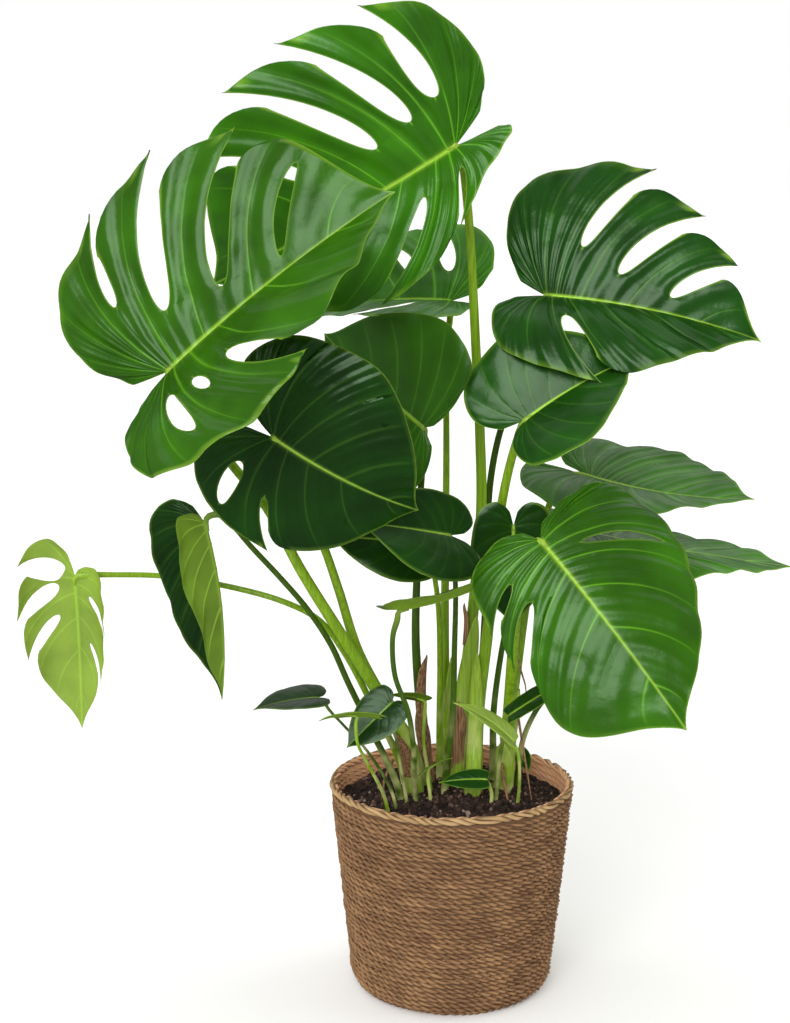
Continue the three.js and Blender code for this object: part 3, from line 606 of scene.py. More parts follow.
def edge_distance(cut, t, reach, across):
    """Distance from the edge of a cut, for points that lie across millimetres beside its line."""
    if cut is None:
        return np.full_like(across, 1e3)
    beyond = np.maximum(np.maximum(cut.start - t, t - (cut.end or 2)), 0) * reach
    return np.hypot(beyond, across)


def cornered(cut, t, away, depth, reach):
    """t moved in or out near the corner where an open cut meets the margin."""
    if cut is None or cut.end:
        return t
    close = up_to_one(1 - away / reach)
    outer = up_to_one((t - cut.start) / (1 - cut.start)) ** 2
    return t * (1 + depth * (outer * (1 - np.sqrt(1 - close**2))))


def vein_columns(count, veins):
    """Columns of a strip, closer together at its veins and its edges."""
    even = np.linspace(0, 1, count + 1)
    close = [v + d for v in veins for d in (-0.02, -0.008, 0, 0.008, 0.02)] + [0.012, 0.04, 0.96, 0.988]
    kept = [u for u in even if min(abs(u - v) for v in veins) > 0.5 / count]
    return np.unique(np.round(kept + close + [0, 1], 5))


def half_blade(leaf, side):
    """The grids of one half, a strip between each two cuts, with what the finish needs to know."""
    half = leaf.left if side > 0 else leaf.right
    rows, columns = BLADE_MESH[leaf.size]
    levels = np.append(np.linspace(0, 1, rows) ** ROW_POWER * LAST_ROW, 1)
    cuts = [None, *sorted(half.cuts), None]
    strips = []
    for before, after in zip(cuts[:-1], cuts[1:]):
        start, end = before.place if before else RIM_START, after.place if after else 1
        vein_count = max(1, round((end - start) / VEIN_PITCH))
        shares = [(k + 0.5) / vein_count for k in range(vein_count)]
        places = [start + (end - start) * share for share in shares]
        u = vein_columns(max(5, round(columns * (end - start))), shares)
        t_before, t_after = cut_levels(before, levels), cut_levels(after, levels)
        s_before = cut_edge(half, leaf.length, before, t_before, 1) if before else np.full_like(levels, start)
        s_after = cut_edge(half, leaf.length, after, t_after, -1) if after else np.full_like(levels, end)
        # Each vein keeps its place where a cut opens beside it
        s = np.array([np.interp(u, [0, *shares, 1], [low, *np.clip(places, low + 0.01, high - 0.01), high])
                      for low, high in zip(s_before, s_after)])
        t = t_before[:, None] * (1 - u) + t_after[:, None] * u
        from_before, to_after = s - s_before[:, None], s_after[:, None] - s
        t = cornered(before, t, from_before, *ROUND_CORNER)
        t = cornered(after, t, to_after, *POINTED_CORNER)
        flat = flat_points(half, leaf.length, s, t)
        near_tip = up_to_one((flat[..., 0] / leaf.length - TIP["start"]) / 0.1) ** 2
        flat = flat + np.stack(
            [TIP["draw"] * leaf.length * near_tip, -TIP["narrowing"] * near_tip * flat[..., 1]], -1)
        step = 0.004
        across = np.linalg.norm(
            flat_points(half, leaf.length, np.clip(s + step, 0, 1), t)
            - flat_points(half, leaf.length, np.clip(s - step, 0, 1), t), axis=-1) / (2 * step)
        width = across * (s_after - s_before)[:, None]
        reach = np.linalg.norm(
            rim_points(half, leaf.length, s) - flat_points(half, leaf.length, s, 0 * s), axis=-1)
        vein = np.min([np.abs(s - place) for place in places], axis=0) * across
        edge = np.minimum((1 - t) * reach, edge_distance(before, t, reach, from_before * across))
        edge = np.minimum(edge, edge_distance(after, t, reach, to_after * across))
        edge = edge if before else np.minimum(edge, (s - start) * across)
        mid = np.hypot(np.minimum(flat[..., 0], 0), flat[..., 1])
        ripple = np.sin(MARGIN_WAVE["radians"] * s + MARGIN_WAVE["phase"] * side)
        wave = MARGIN_WAVE["height"] * leaf.length * t * t * ripple
        wave = wave * up_to_one(reach / MARGIN_WAVE["full_reach"])
        strips.append({
            "points": bent_points(leaf, side, flat, wave),
            "vein": vein,
            "spacing": width / vein_count,
            "edge": edge,
            "mid": mid,
            "along": up_to_one(flat[..., 0] / leaf.length),
            "reach": t,
            "up": np.where((t < 1e-6)[..., None], turned_up(leaf, flat[..., 0]), 0),
        })
    return strips


def blade_mesh(leaf, settings):
    """The blade as a closed skin round its middle surface: points, faces, their materials and attributes.
    Between the veins the blade is quilted; the veins are grooves above and ridges below."""
    names = ["points", "vein", "spacing", "edge", "mid", "along", "reach", "up"]
    pools = {name: [] for name in names}
    quads = []
    total = 0
    for side in (1, -1):
        for strip in half_blade(leaf, side):
            rows, columns = strip["vein"].shape
            index = total + np.arange(rows * columns).reshape(rows, columns)
            total += rows * columns
            corners = [index[:-1, :-1], index[:-1, 1:], index[1:, 1:], index[1:, :-1]]
            quads.append(np.stack(corners[::side], -1).reshape(-1, 4))
            for name in names:
                pools[name].append(strip[name].reshape(rows * columns, -1))
    pools = {name: np.concatenate(pool) for name, pool in pools.items()}
    points, values, index = weld(pools["points"], *[pools[name] for name in names[1:]])
    vein, spacing, edge, mid, along, reach = [value[:, 0] for value in values[:6]]
    up = values[6]
    quads = index[np.concatenate(quads)]
    # The sizes below are those of a blade 250 mm long; a shorter one is finer and flatter
    scale = leaf.length / 250
    relief = min(1, scale * 1.2) ** 2
    depth = np.minimum(settings.quilt_depth / MM, 0.09 * spacing) * relief * up_to_one(mid / 40)
    depth = depth * RELIEFS.get(leaf.name, 1.0)
    quilt = -depth * near(vein, 0.26 * spacing + 0.5)
    # The margin droops by 1.5 mm
    quilt -= 1.5 * scale * near(edge, 7 * scale + 1) * up_to_one(mid / 30)
    # The tissue buckles by 0.8 mm in swells about 80 mm long, with finer ones of 0.16 mm on them
    x, y, z = points.T / scale
    quilt += scale * up_to_one(mid / 20) * (
        0.8 * np.sin(x / 13 + 1.7 * np.sin(z / 19)) * np.sin(z / 11 + y / 17)
        + 0.16 * np.sin(x / 4.3 + z / 6.1 + np.sin(y / 5)) * np.sin(z / 3.7 - x / 7.7))
    points = points + point_normals(points, quads, up) * quilt[:, None]
    normals = point_normals(points, quads, up)
    taper = 1 - 0.75 * along
    # Half the thickness, which falls to six tenths of itself at the edge
    thick = settings.blade_thickness / MM * (0.5 - 0.2 * np.exp(-edge / 3))
    # The midrib and the side veins are sunk a little above, and stand out below
    midrib = near(mid, 2.6 * scale + 0.6) * taper
    lateral = near(vein, 1.1) * up_to_one(1.1 - reach)
    above = thick - 0.35 * midrib * scale - 0.2 * lateral
    below = thick + 1.7 * midrib * scale + 0.4 * lateral * scale
    skin = np.concatenate([points + normals * above[:, None], points - normals * below[:, None]])
    count = len(points)
    # A wall joins the two faces along each side that only one quad has, but not along the midrib
    starts = quads.reshape(-1)
    ends = np.roll(quads, -1, axis=1).reshape(-1)
    real = starts != ends
    starts, ends = starts[real], ends[real]
    free = ~np.isin(starts * count + ends, ends * count + starts)
    free &= ~((mid[starts] < 1e-6) & (mid[ends] < 1e-6))
    starts, ends = starts[free], ends[free]
    walls = np.stack([ends, starts, starts + count, ends + count], -1)
    top, bottom = as_faces(quads), as_faces(quads[:, ::-1] + count)
    faces = [*top, *bottom, *walls.tolist()]
    face_materials = [0] * len(top) + [1] * len(bottom) + [0] * len(walls)
    attributes = {
        "midrib": near(mid, 1.7 * scale * taper + 0.45) * (1 - 0.5 * along),
        "vein": near(vein, 0.7) * np.clip(1.15 - reach, 0, relief) * up_to_one((edge - 1) / 6),
        "rim": near(edge, 0.8),
        "bay": 1 - near(vein, 0.3 * spacing + 1),
        "across": np.where(relief > 0.5, vein / np.maximum(spacing, 1e-9), 0.0),
        # Each leaf's tone, partly its own colour and partly painted light and shade
        "tone": np.full(len(vein), LEAF_TONES_AND_PAINTED_LIGHT.get(leaf.name, 1.0)),
    }
    attributes = {name: np.tile(values, 2) for name, values in attributes.items()}
    return skin, faces, face_materials, attributes


def as_faces(quads):
    """Quads as lists, with repeated corners left out and slivers dropped."""
    faces = []
    for quad in quads.tolist():
        face = [v for i, v in enumerate(quad) if v != quad[i - 1]]
        if len(set(face)) == len(face) > 2:
            faces.append(face)
    return faces


def point_normals(points, quads, fixed):
    """A normal for each point, or the fixed one where that isn't zero."""
    normals = np.zeros_like(points)
    a, b, c, d = (points[quads[:, corner]] for corner in range(4))
    face = np.cross(c - a, d - b)
    for corner in range(4):
        np.add.at(normals, quads[:, corner], face)
    held = np.linalg.norm(fixed, axis=1) > 0.5
    normals[held] = fixed[held]
    return normals / np.maximum(np.linalg.norm(normals, axis=1), 1e-9)[:, None]


# Stems


def stem_line(points, count):
    """A smooth line through points of uneven spacing, as count points at even distances."""
    points = np.asarray(points, float)
    ends = [2 * points[0] - points[1], *points, 2 * points[-1] - points[-2]]
    line = []
    for before, a, b, after in zip(ends, ends[1:], ends[2:], ends[3:]):
        d0, d1, d2 = (max(np.linalg.norm(q - p) ** 0.5, 1e-3) for p, q in ((before, a), (a, b), (b, after)))
        slope_a = ((a - before) / d0 - (b - before) / (d0 + d1) + (b - a) / d1) * d1
        slope_b = ((b - a) / d1 - (after - a) / (d1 + d2) + (after - b) / d2) * d1
        f = np.linspace(0, 1, 16, endpoint=False)[:, None]
        line.append(hermite(a, b, slope_a, slope_b, f))
    line = np.concatenate([*line, points[-1:]])
    walked = np.append(0, np.cumsum(np.linalg.norm(np.diff(line, axis=0), axis=1)))
    even = np.linspace(0, walked[-1], count)
    return np.stack([np.interp(even, walked, line[:, k]) for k in range(3)], -1), even


def cross_frames(line, towards):
    """Two directions across a line at each of its points, the first as near as it can be to towards."""
    along = np.gradient(line, axis=0)
    along /= np.linalg.norm(along, axis=1)[:, None]
    side = np.asarray(towards, float)
    sides = []
    for step in along:
        side = side - step * (side @ step)
        side = side / np.linalg.norm(side)
        sides.append(side)
    sides = np.array(sides)
    return sides, np.cross(along, sides)


def tube(line, reach, towards):
    """A closed tube round a line. Reach holds its radius at each ring and angle."""
    rings, sides = reach.shape
    across, over = cross_frames(line, towards)
    angle = round_angles(sides)
    ways = across[:, None] * np.cos(angle)[None, :, None] + over[:, None] * np.sin(angle)[None, :, None]
    points = (line[:, None] + ways * reach[..., None]).reshape(-1, 3)
    first, last = list(range(sides))[::-1], list(range((rings - 1) * sides, rings * sides))
    return points, [first, *ring_quads(rings, sides).tolist(), last]


def stalk_path(leaf, settings):
    """The line of a leaf stalk from under the blade down into the soil, and its radius there."""
    along, _, up = blade_frame(leaf)
    at = np.asarray(leaf.at, float)
    top, base = leaf.radius
    # The stalk starts 9 mm along the midrib, just under the blade, and leans inwards under the soil
    start = [at + along * 9 - up * 1.2, at - up * 1.4]
    sunk = np.asarray(leaf.stem[-1], float) * [0.9, 0.9, 1] - [0, 0, settings.root_depth / MM]
    line, walked = stem_line([*start, *leaf.stem, sunk], 26 + len(leaf.stem) * 6)
    radius = top + (base - top) * (walked / walked[-1]) ** 1.3
    radius = radius * (1 - 0.6 * np.exp(-walked / 5))
    # The knee is 22 mm under the blade, and the foot widens by 15% towards the soil
    radius = radius * (1 + settings.knee_swelling * near(walked - 22, 13))
    radius = radius * (1 + 0.15 * np.exp(-2 * np.clip((line[:, 2] - SOIL_TOP) / 60, 0, 9)))
    if leaf.name in NODE_RINGS:
        radius = radius * (1 + 0.14 * near(line[:, 2] - NODE_RINGS[leaf.name], 3))
    return line, walked, radius


def stalk_attributes(height, walked):
    """What the rind needs to know: the height, and how near the knee is."""
    return {
        "height": up_to_one((height - STALK_COLOUR_FROM) / STALK_COLOUR_RANGE),
        "knee": near(walked, 26),
    }


def stem_piece(leaf, material, settings):
    """A leaf stalk with a knee under the blade, and a channel down the side that faces the plant."""
    line, walked, radius = stalk_path(leaf, settings)
    angle = round_angles(STALK_SIDES)
    # The channel starts 30 mm under the blade, and takes 14% of the radius
    channel = near(np.abs(angle - math.pi) - math.pi, 0.45)
    reach = radius[:, None] * (1 - 0.14 * up_to_one((walked - 30) / 60)[:, None] * channel[None, :])
    reach = reach * (1 + 0.03 * np.sin(walked / 23 + len(leaf.name))[:, None] * np.cos(angle)[None, :])
    points, faces = tube(line, reach, blade_frame(leaf)[2])
    rings = np.repeat(np.arange(len(line)), STALK_SIDES)
    make_piece(f"stalk_{leaf.name}", points, faces, [material], [f"stem_{leaf.name}"],
               stalk_attributes(line[rings, 2], walked[rings]))


def sheath_piece(sheath, material, settings):
    """A sheath round the foot of a stalk: wide below, and drawn out to a point that stands off above."""
    leaf = next(leaf for leaf in LEAVES if leaf.name == sheath.leaf)
    line, _, radius = stalk_path(leaf, settings)
    order = np.argsort(line[:, 2])
    share = np.linspace(0, 1, 26)
    height = sheath.low + (sheath.high - sheath.low) * share
    centre = np.stack([np.interp(height, line[order, 2], line[order, k]) for k in range(3)], -1)
    inside = np.interp(height, line[order, 2], radius[order]) + 0.4 + sheath.flare * share**2
    half_arc = math.radians(sheath.wrap) / 2 * (1 - share**2.2) ** 0.8 + 0.02
    across = np.linspace(-1, 1, 15)
    turn = math.radians(sheath.facing) + half_arc[:, None] * across[None, :]
    # The free edges curl in and out by up to 1.2 mm
    curl = 0.9 * np.sin(9 * share + sheath.low)[:, None] * np.abs(across[None, :]) ** 3
    curl = curl * (0.3 + share[:, None])
    loops = []
    for thickness, way in ((0.7, 1), (0.0, -1)):
        reach = inside[:, None] + thickness * (1 - 0.8 * across[None, :] ** 4) + curl
        skin = np.stack([np.cos(turn) * reach, np.sin(turn) * reach, 0 * turn], -1) + centre[:, None]
        loops.append(skin[:, ::way])
    points = np.concatenate(loops, axis=1)
    rings, sides = points.shape[:2]
    points = points.reshape(-1, 3)
    first, last = list(range(sides))[::-1], list(range((rings - 1) * sides, rings * sides))
    faces = [*ring_quads(rings, sides).tolist(), first, last]
    make_piece(f"sheath_{sheath.name}", points, faces, [material],
               attributes=stalk_attributes(points[:, 2], np.full(len(points), np.inf)))


def root_piece(name, path, radius, material):
    """A thin root, tapering to its end."""
    line, walked = stem_line(path, 10 * len(path))
    reach = np.repeat((radius * (1 - 0.7 * (walked / walked[-1]) ** 2))[:, None], ROOT_SIDES, axis=1)
    points, faces = tube(line, reach, (0.3, 1, 0.2))
    make_piece(name, points, faces, [material])


# Basket


def plies(rings, rng, count, twist, ply_radius, helix_radius, segments, sides):
    """Twisted plies round the basket, count of them to each ring of (radius, height), with as many turns in
    a round as twist says. Gives points, faces and, for each point, its tone, how far it stands out from
    the middle of the cord, and where it lies along and across its ply."""
    round_angle = round_angles(segments)
    around = round_angle + math.pi / 2
    side_angle = round_angles(sides) + 0.4
    quads = ring_quads(segments, sides, closed=True)[:, [0, 3, 2, 1]]
    pools = {name: [] for name in ("points", "tone", "crown", "outward", "along", "athwart")}
    faces = []
    for ring_radius, height in rings:
        phase = rng.uniform(0, 2 * math.pi)
        sway = rng.uniform(0, 2 * math.pi, 3)
        # Hand-laid cord wanders in and out and up and down by under 1 mm, and its twist is uneven
        bulge = 0.9 * np.sin(3 * round_angle + sway[0]) + 0.5 * np.sin(7 * round_angle + sway[1])
        lift = 0.4 * np.sin(5 * round_angle + sway[2]) + 0.2 * np.sin(13 * round_angle + sway[0])
        slip = 0.8 * np.sin(7 * round_angle + sway[1]) + 0.4 * np.sin(19 * round_angle + sway[0])
        for ply in range(count):
            theta = phase + 2 * math.pi * ply / count - twist * round_angle + slip
            centre_out = ring_radius + bulge * 0.6 + helix_radius * np.cos(theta)
            centre_up = height + lift + helix_radius * np.sin(theta)
            fat = ply_radius * (1 + 0.14 * np.sin(17 * round_angle + sway[2] + ply))
            out = centre_out[:, None] + fat[:, None] * np.cos(side_angle)[None, :]
            up = centre_up[:, None] + fat[:, None] * np.sin(side_angle)[None, :]
            points = np.stack([out * np.cos(around)[:, None], out * np.sin(around)[:, None], up], -1)
            drift = rng.uniform(0.3, 0.7) + 0.12 * np.sin(2 * round_angle + sway[0])
            walked = np.repeat(round_angle * ring_radius, sides)
            lean = np.where(np.cos(theta) > 0, -1, 1) * twist * helix_radius / ring_radius
            rise = (out - ring_radius - bulge[:, None] * 0.6) / (ply_radius + helix_radius)
            faces.append(quads + len(faces) * len(walked))
            pools["points"].append(points.reshape(-1, 3))
            pools["tone"].append(np.repeat(drift + 0.16 * np.sin(9 * round_angle + sway[1]), sides))
            pools["crown"].append(np.abs(rise).reshape(-1))
            pools["outward"].append(rise.reshape(-1))
            pools["along"].append(walked * MM)
            pools["athwart"].append((up.reshape(-1) - np.repeat(lean, sides) * walked) * MM)
    values = {name: np.concatenate(pool) for name, pool in pools.items()}
    return values.pop("points"), np.concatenate(faces).tolist(), values


def turned(profile, turns):
    """A surface turned about the upright axis from a profile of radius and height."""
    angle = round_angles(turns)
    points = np.array([(r * np.cos(angle), r * np.sin(angle), z + 0 * angle) for r, z in profile])
    return points.transpose(0, 2, 1).reshape(-1, 3), ring_quads(len(profile), turns).tolist()


def wall_radius(height):
    """The outside of the basket's wall."""
    straight = FOOT_RADIUS + WALL_FLARE * (height - FOOT_HEIGHT) / WALL_RISE
    return straight - CORNER_DEPTH * up_to_one((CORNER_HEIGHT - height) / CORNER_HEIGHT) ** 2.2


# Soil


# A twenty-sided solid of radius 1
ICO = (1 + 5**0.5) / 2
ICO_POINTS = np.array([
    (-1, ICO, 0), (1, ICO, 0), (-1, -ICO, 0), (1, -ICO, 0), (0, -1, ICO), (0, 1, ICO),
    (0, -1, -ICO), (0, 1, -ICO), (ICO, 0, -1), (ICO, 0, 1), (-ICO, 0, -1), (-ICO, 0, 1)]) / math.hypot(1, ICO)
ICO_FACES = np.array([
    (0, 11, 5), (0, 5, 1), (0, 1, 7), (0, 7, 10), (0, 10, 11), (1, 5, 9), (5, 11, 4), (11, 10, 2), (10, 7, 6),
    (7, 1, 8), (3, 9, 4), (3, 4, 2), (3, 2, 6), (3, 6, 8), (3, 8, 9), (4, 9, 5), (2, 4, 11), (6, 2, 10),
    (8, 6, 7), (9, 8, 1)])


def lumps(centres, sizes, squash, rng):
    """Rough lumps, each a crumpled twenty-sided solid lying at its own angle."""
    points, faces, tones = [], [], []
    for i, (centre, size) in enumerate(zip(centres, sizes)):
        turn = rng.normal(size=4)
        w, x, y, z = turn / np.linalg.norm(turn)
        spin = np.array([
            [1 - 2 * (y * y + z * z), 2 * (x * y - z * w), 2 * (x * z + y * w)],
            [2 * (x * y + z * w), 1 - 2 * (x * x + z * z), 2 * (y * z - x * w)],
            [2 * (x * z - y * w), 2 * (y * z + x * w), 1 - 2 * (x * x + y * y)]])
        shape = ICO_POINTS * rng.uniform(0.75, 1.25, (len(ICO_POINTS), 1))
        shape = shape * [1, rng.uniform(*squash), rng.uniform(*squash)]
        points.append(shape @ spin.T * size + centre)
        faces.append(ICO_FACES + len(ICO_POINTS) * i)
        tones.append(np.full(len(ICO_POINTS), rng.uniform(0, 1)))
    return np.concatenate(points), np.concatenate(faces).tolist(), np.concatenate(tones)


def soil_height(x, y):
    """The top of the potting soil, a low lumpy mound."""
    mound = np.interp(np.hypot(x, y) / MOUND_RADIUS, MOUND_SHARES, MOUND_HEIGHTS)
    # Lumps 22 mm across and up to 4 mm high, with smaller ones on them
    rough = [noise.fractal(Vector((px * 0.045, py * 0.045, 3.1)), 0.7, 2.1, 5)
             for px, py in zip(x.flat, y.flat)]
    return mound + 4.2 * np.array(rough).reshape(np.shape(x))


# Materials


# Leaf wax reflects faintly green light
WAX_TINT = (0.76, 1.0, 0.72, 1.0)


def leaf_cuticle(finish, colour, settings):
    """Upper face of a living leaf: grown tissue under a smooth waxy cuticle.
    The wax gives a broad soft sheen, and the tissue is darker between its thin pale veins."""
    material, tree = new_material(f"{finish} leaf cuticle")
    place = add(tree, "TexCoord", result="Object")
    midrib, vein, rim, bay, across, tone = (
        add(tree, "Attribute", result="Fac", attribute_name=name)
        for name in ("midrib", "vein", "rim", "bay", "across", "tone"))
    # Clouds of deeper green about 60 mm across
    cloud = add(tree, "TexNoise", {"Vector": place, "Scale": 1 / 0.06, "Detail": 2.0})
    # Flecks 2.5 mm across, coarser than the real cells so that they show
    fleck = add(tree, "TexNoise", {"Vector": place, "Scale": 1 / 0.0025, "Detail": 2.0})
    shade = add(tree, "MapRange", {"Value": cloud, "From Min": 0.3, "From Max": 0.7})
    hollow = add(tree, "Math", {0: bay, 1: 0.35}, operation="MULTIPLY")
    pale = settings.vein_strength * VEIN_SHARES.get(finish, 1.0)
    line = add(tree, "Math", {0: vein, 1: pale}, operation="MULTIPLY")
    border = add(tree, "Math", {0: rim, 1: 0.35}, operation="MULTIPLY")
    deep = darker(colour, settings.deep_share)
    thin = [min(channel * 2.2 + 0.3 * target, 1) for channel, target in zip(colour, settings.vein_colour)]
    green = colour
    for share, paint in ((shade, deep), (hollow, deep), (line, thin), (midrib, settings.vein_colour),
                         (border, settings.vein_colour)):
        green = add(tree, "Mix", {"Factor": share, "A": green, "B": paint}, data_type="RGBA")
    # The tone sets each leaf's brightness: partly its own colour, partly painted light and shade
    toned = add(tree, "HueSaturation", {"Color": green, "Value": tone})
    # Three low ripples run beside each side vein, as its own fine branches do
    ripple = add(tree, "Math", {0: across, 1: 6 * math.pi}, operation="MULTIPLY")
    swell = add(tree, "Math", {0: ripple}, operation="COSINE")
    # Soft dents 9 mm across break up the sheen
    dents = add(tree, "TexNoise", {"Vector": place, "Scale": 1 / 0.009, "Detail": 2.0})
    low = add(tree, "Bump", {"Height": swell, "Strength": 0.5, "Distance": 0.0009})
    uneven = add(tree, "Bump", {"Height": dents, "Strength": 0.3, "Distance": 0.0012, "Normal": low})
    fine = add(tree, "Bump", {"Height": fleck, "Strength": 0.12, "Distance": 0.0005, "Normal": uneven})
    gloss = add(tree, "MapRange", {"Value": cloud, "To Min": 0.24, "To Max": 0.36})
    skin = add(tree, "BsdfPrincipled", {
        "Base Color": toned, "Roughness": gloss, "IOR": 1.45, "Specular Tint": WAX_TINT, "Normal": fine})
    add(tree, "OutputMaterial", {"Surface": skin})
    return material


def leaf_underside(finish, colour, settings):
    """Lower face of a living leaf: spongy tissue with hardly any wax.
    It is paler and duller than the upper face, and its ribs stand out lighter."""
    material, tree = new_material(f"{finish} leaf underside")
    place = add(tree, "TexCoord", result="Object")
    midrib, vein = (
        add(tree, "Attribute", result="Fac", attribute_name=name) for name in ("midrib", "vein"))
    # Clouds 40 mm across, and flecks 2 mm across, coarser than the real pores so that they show
    cloud = add(tree, "TexNoise", {"Vector": place, "Scale": 1 / 0.04, "Detail": 3.0})
    fleck = add(tree, "TexNoise", {"Vector": place, "Scale": 1 / 0.002, "Detail": 2.0})
    shade = add(tree, "MapRange", {"Value": cloud, "From Min": 0.35, "From Max": 0.7})
    ribs = add(tree, "Math", {0: midrib, 1: vein}, operation="MAXIMUM")
    line = add(tree, "Math", {0: ribs, 1: 0.7}, operation="MULTIPLY")
    green = [a + (b - a) * settings.under_share for a, b in zip(colour, settings.under_colour)]
    for share, paint in ((shade, darker(green, 0.72)), (line, settings.vein_colour)):
        green = add(tree, "Mix", {"Factor": share, "A": green, "B": paint}, data_type="RGBA")
    grain = add(tree, "Bump", {"Height": fleck, "Strength": 0.15, "Distance": 0.0005})
    skin = add(tree, "BsdfPrincipled", {"Base Color": green, "Roughness": 0.5, "IOR": 1.42, "Normal": grain})
    add(tree, "OutputMaterial", {"Surface": skin})
    return material


def stalk_skin(name, colour, settings):
    """Skin of a leaf stalk: a smooth grown rind, ribbed along its length.
    It is cream at the soil, green above and yellower in the knee under the blade."""
    material, tree = new_material(name)
    place = add(tree, "TexCoord", result="Object")
    height, knee = (
        add(tree, "Attribute", result="Fac", attribute_name=name) for name in ("height", "knee"))
    # Streaks 2 mm wide and 90 mm long run up the stalk, and the cream comes in patches 30 mm across
    stretched = add(tree, "Mapping", {"Vector": place, "Scale": (1 / 0.002, 1 / 0.002, 1 / 0.09)})
    streak = add(tree, "TexNoise", {"Vector": stretched, "Scale": 1.0, "Detail": 3.0})
    cloud = add(tree, "TexNoise", {"Vector": place, "Scale": 1 / 0.03, "Detail": 2.0})
    shade = add(tree, "MapRange", {"Value": streak, "From Min": 0.35, "From Max": 0.75})
    low = add(tree, "MapRange", {"Value": height, "From Max": 0.28, "To Min": 1.0, "To Max": 0.0})
    patch = add(tree, "MapRange", {"Value": cloud, "From Min": 0.42, "From Max": 0.62})
    foot = add(tree, "Math", {0: low, 1: patch}, operation="MULTIPLY")
    bend = add(tree, "Math", {0: knee, 1: 0.5}, operation="MULTIPLY")
    green = colour
    for share, paint in ((shade, darker(colour, 0.55)), (foot, settings.foot_colour),
                         (bend, settings.knee_colour)):
        green = add(tree, "Mix", {"Factor": share, "A": green, "B": paint}, data_type="RGBA")
    grain = add(tree, "Bump", {"Height": streak, "Strength": 0.15, "Distance": 0.0004})
    skin = add(tree, "BsdfPrincipled", {"Base Color": green, "Roughness": 0.3, "IOR": 1.42, "Normal": grain})
    add(tree, "OutputMaterial", {"Surface": skin})
    return material


def dry_sheath(name, pale, dark):
    """The dried sheath of an old leaf: papery, and torn into fibres along its length.
    It is brown and dull, in pale and dark streaks."""
    material, tree = new_material(name)
    place = add(tree, "TexCoord", result="Object")
    # Fibres 1.2 mm wide and 30 mm long, wider than the real ones so that they show
    stretched = add(tree, "Mapping", {"Vector": place, "Scale": (1 / 0.0012, 1 / 0.0012, 1 / 0.03)})
    fibre = add(tree, "TexNoise", {"Vector": stretched, "Scale": 1.0, "Detail": 3.0})
    share = add(tree, "MapRange", {"Value": fibre, "From Min": 0.35, "From Max": 0.65})
    streaked = add(tree, "Mix", {"Factor": share, "A": dark, "B": pale}, data_type="RGBA")
    grain = add(tree, "Bump", {"Height": fibre, "Strength": 0.7, "Distance": 0.0008})
    skin = add(tree, "BsdfPrincipled", {
        "Base Color": streaked, "Roughness": 0.75, "IOR": 1.45, "Normal": grain})
    add(tree, "OutputMaterial", {"Surface": skin})
    return material


def seagrass(name, pale, dark, settings):
    """Dried seagrass, twisted by hand into cord and coiled into rows.
    Its fibres run along the cord in straw, tan and brown. Painted shade darkens the grooves between the rows,
    and painted light makes the inner faces paler than their own reddish brown."""
    material, tree = new_material(name)
    place = add(tree, "TexCoord", result="Object")
    tone, crown, outward, along, athwart = (
        add(tree, "Attribute", result="Fac", attribute_name=name)
        for name in ("tone", "crown", "outward", "along", "athwart"))
    # Fibres are under 1 mm wide; streaks 1.2 mm wide and 15 mm long are drawn so that they show
    laid = add(tree, "CombineXYZ", {"X": along, "Y": athwart, "Z": outward})
    drawn = add(tree, "Mapping", {"Vector": laid, "Scale": (1 / 0.015, 1 / 0.0012, 1)})
    fibre = add(tree, "TexNoise", {"Vector": drawn, "Scale": 1.0, "Detail": 3.0})
    patch = add(tree, "TexNoise", {"Vector": place, "Scale": 1 / 0.03, "Detail": 4.0})
    even = add(tree, "Math", {0: tone, 1: 0.6, 2: 0.2}, operation="MULTIPLY_ADD")
    blend = add(tree, "Math", {0: even, 1: patch}, operation="ADD")
    spread = add(tree, "Math", {0: blend, 1: fibre}, operation="ADD")
    brown = add(tree, "MapRange", {"Value": spread, "From Min": 0.8, "From Max": 2.2})
    # Painted shade: the top and bottom of each cord, where it meets the rows beside it, are darkened
    groove_shade = add(tree, "MapRange", {
        "Value": crown, "From Min": 0.2, "From Max": 0.75, "To Min": 0.55, "To Max": 0.0})
    # The inner faces take the inside colour: the wall's own reddish brown, painted much paler as painted
    # light for the light that reaches into the basket
    within = add(tree, "MapRange", {"Value": outward, "From Min": 0.1, "From Max": -0.3, "To Max": 0.7})
    straw = pale
    for share, paint in ((brown, dark), (groove_shade, settings.groove_shade_colour), (within, settings.inside_colour_and_painted_light)):
        straw = add(tree, "Mix", {"Factor": share, "A": straw, "B": paint}, data_type="RGBA")
    grain = add(tree, "Bump", {"Height": fibre, "Strength": 0.5, "Distance": 0.0008})
    skin = add(tree, "BsdfPrincipled", {"Base Color": straw, "Roughness": 0.72, "IOR": 1.45, "Normal": grain})
    add(tree, "OutputMaterial", {"Surface": skin})
    return material


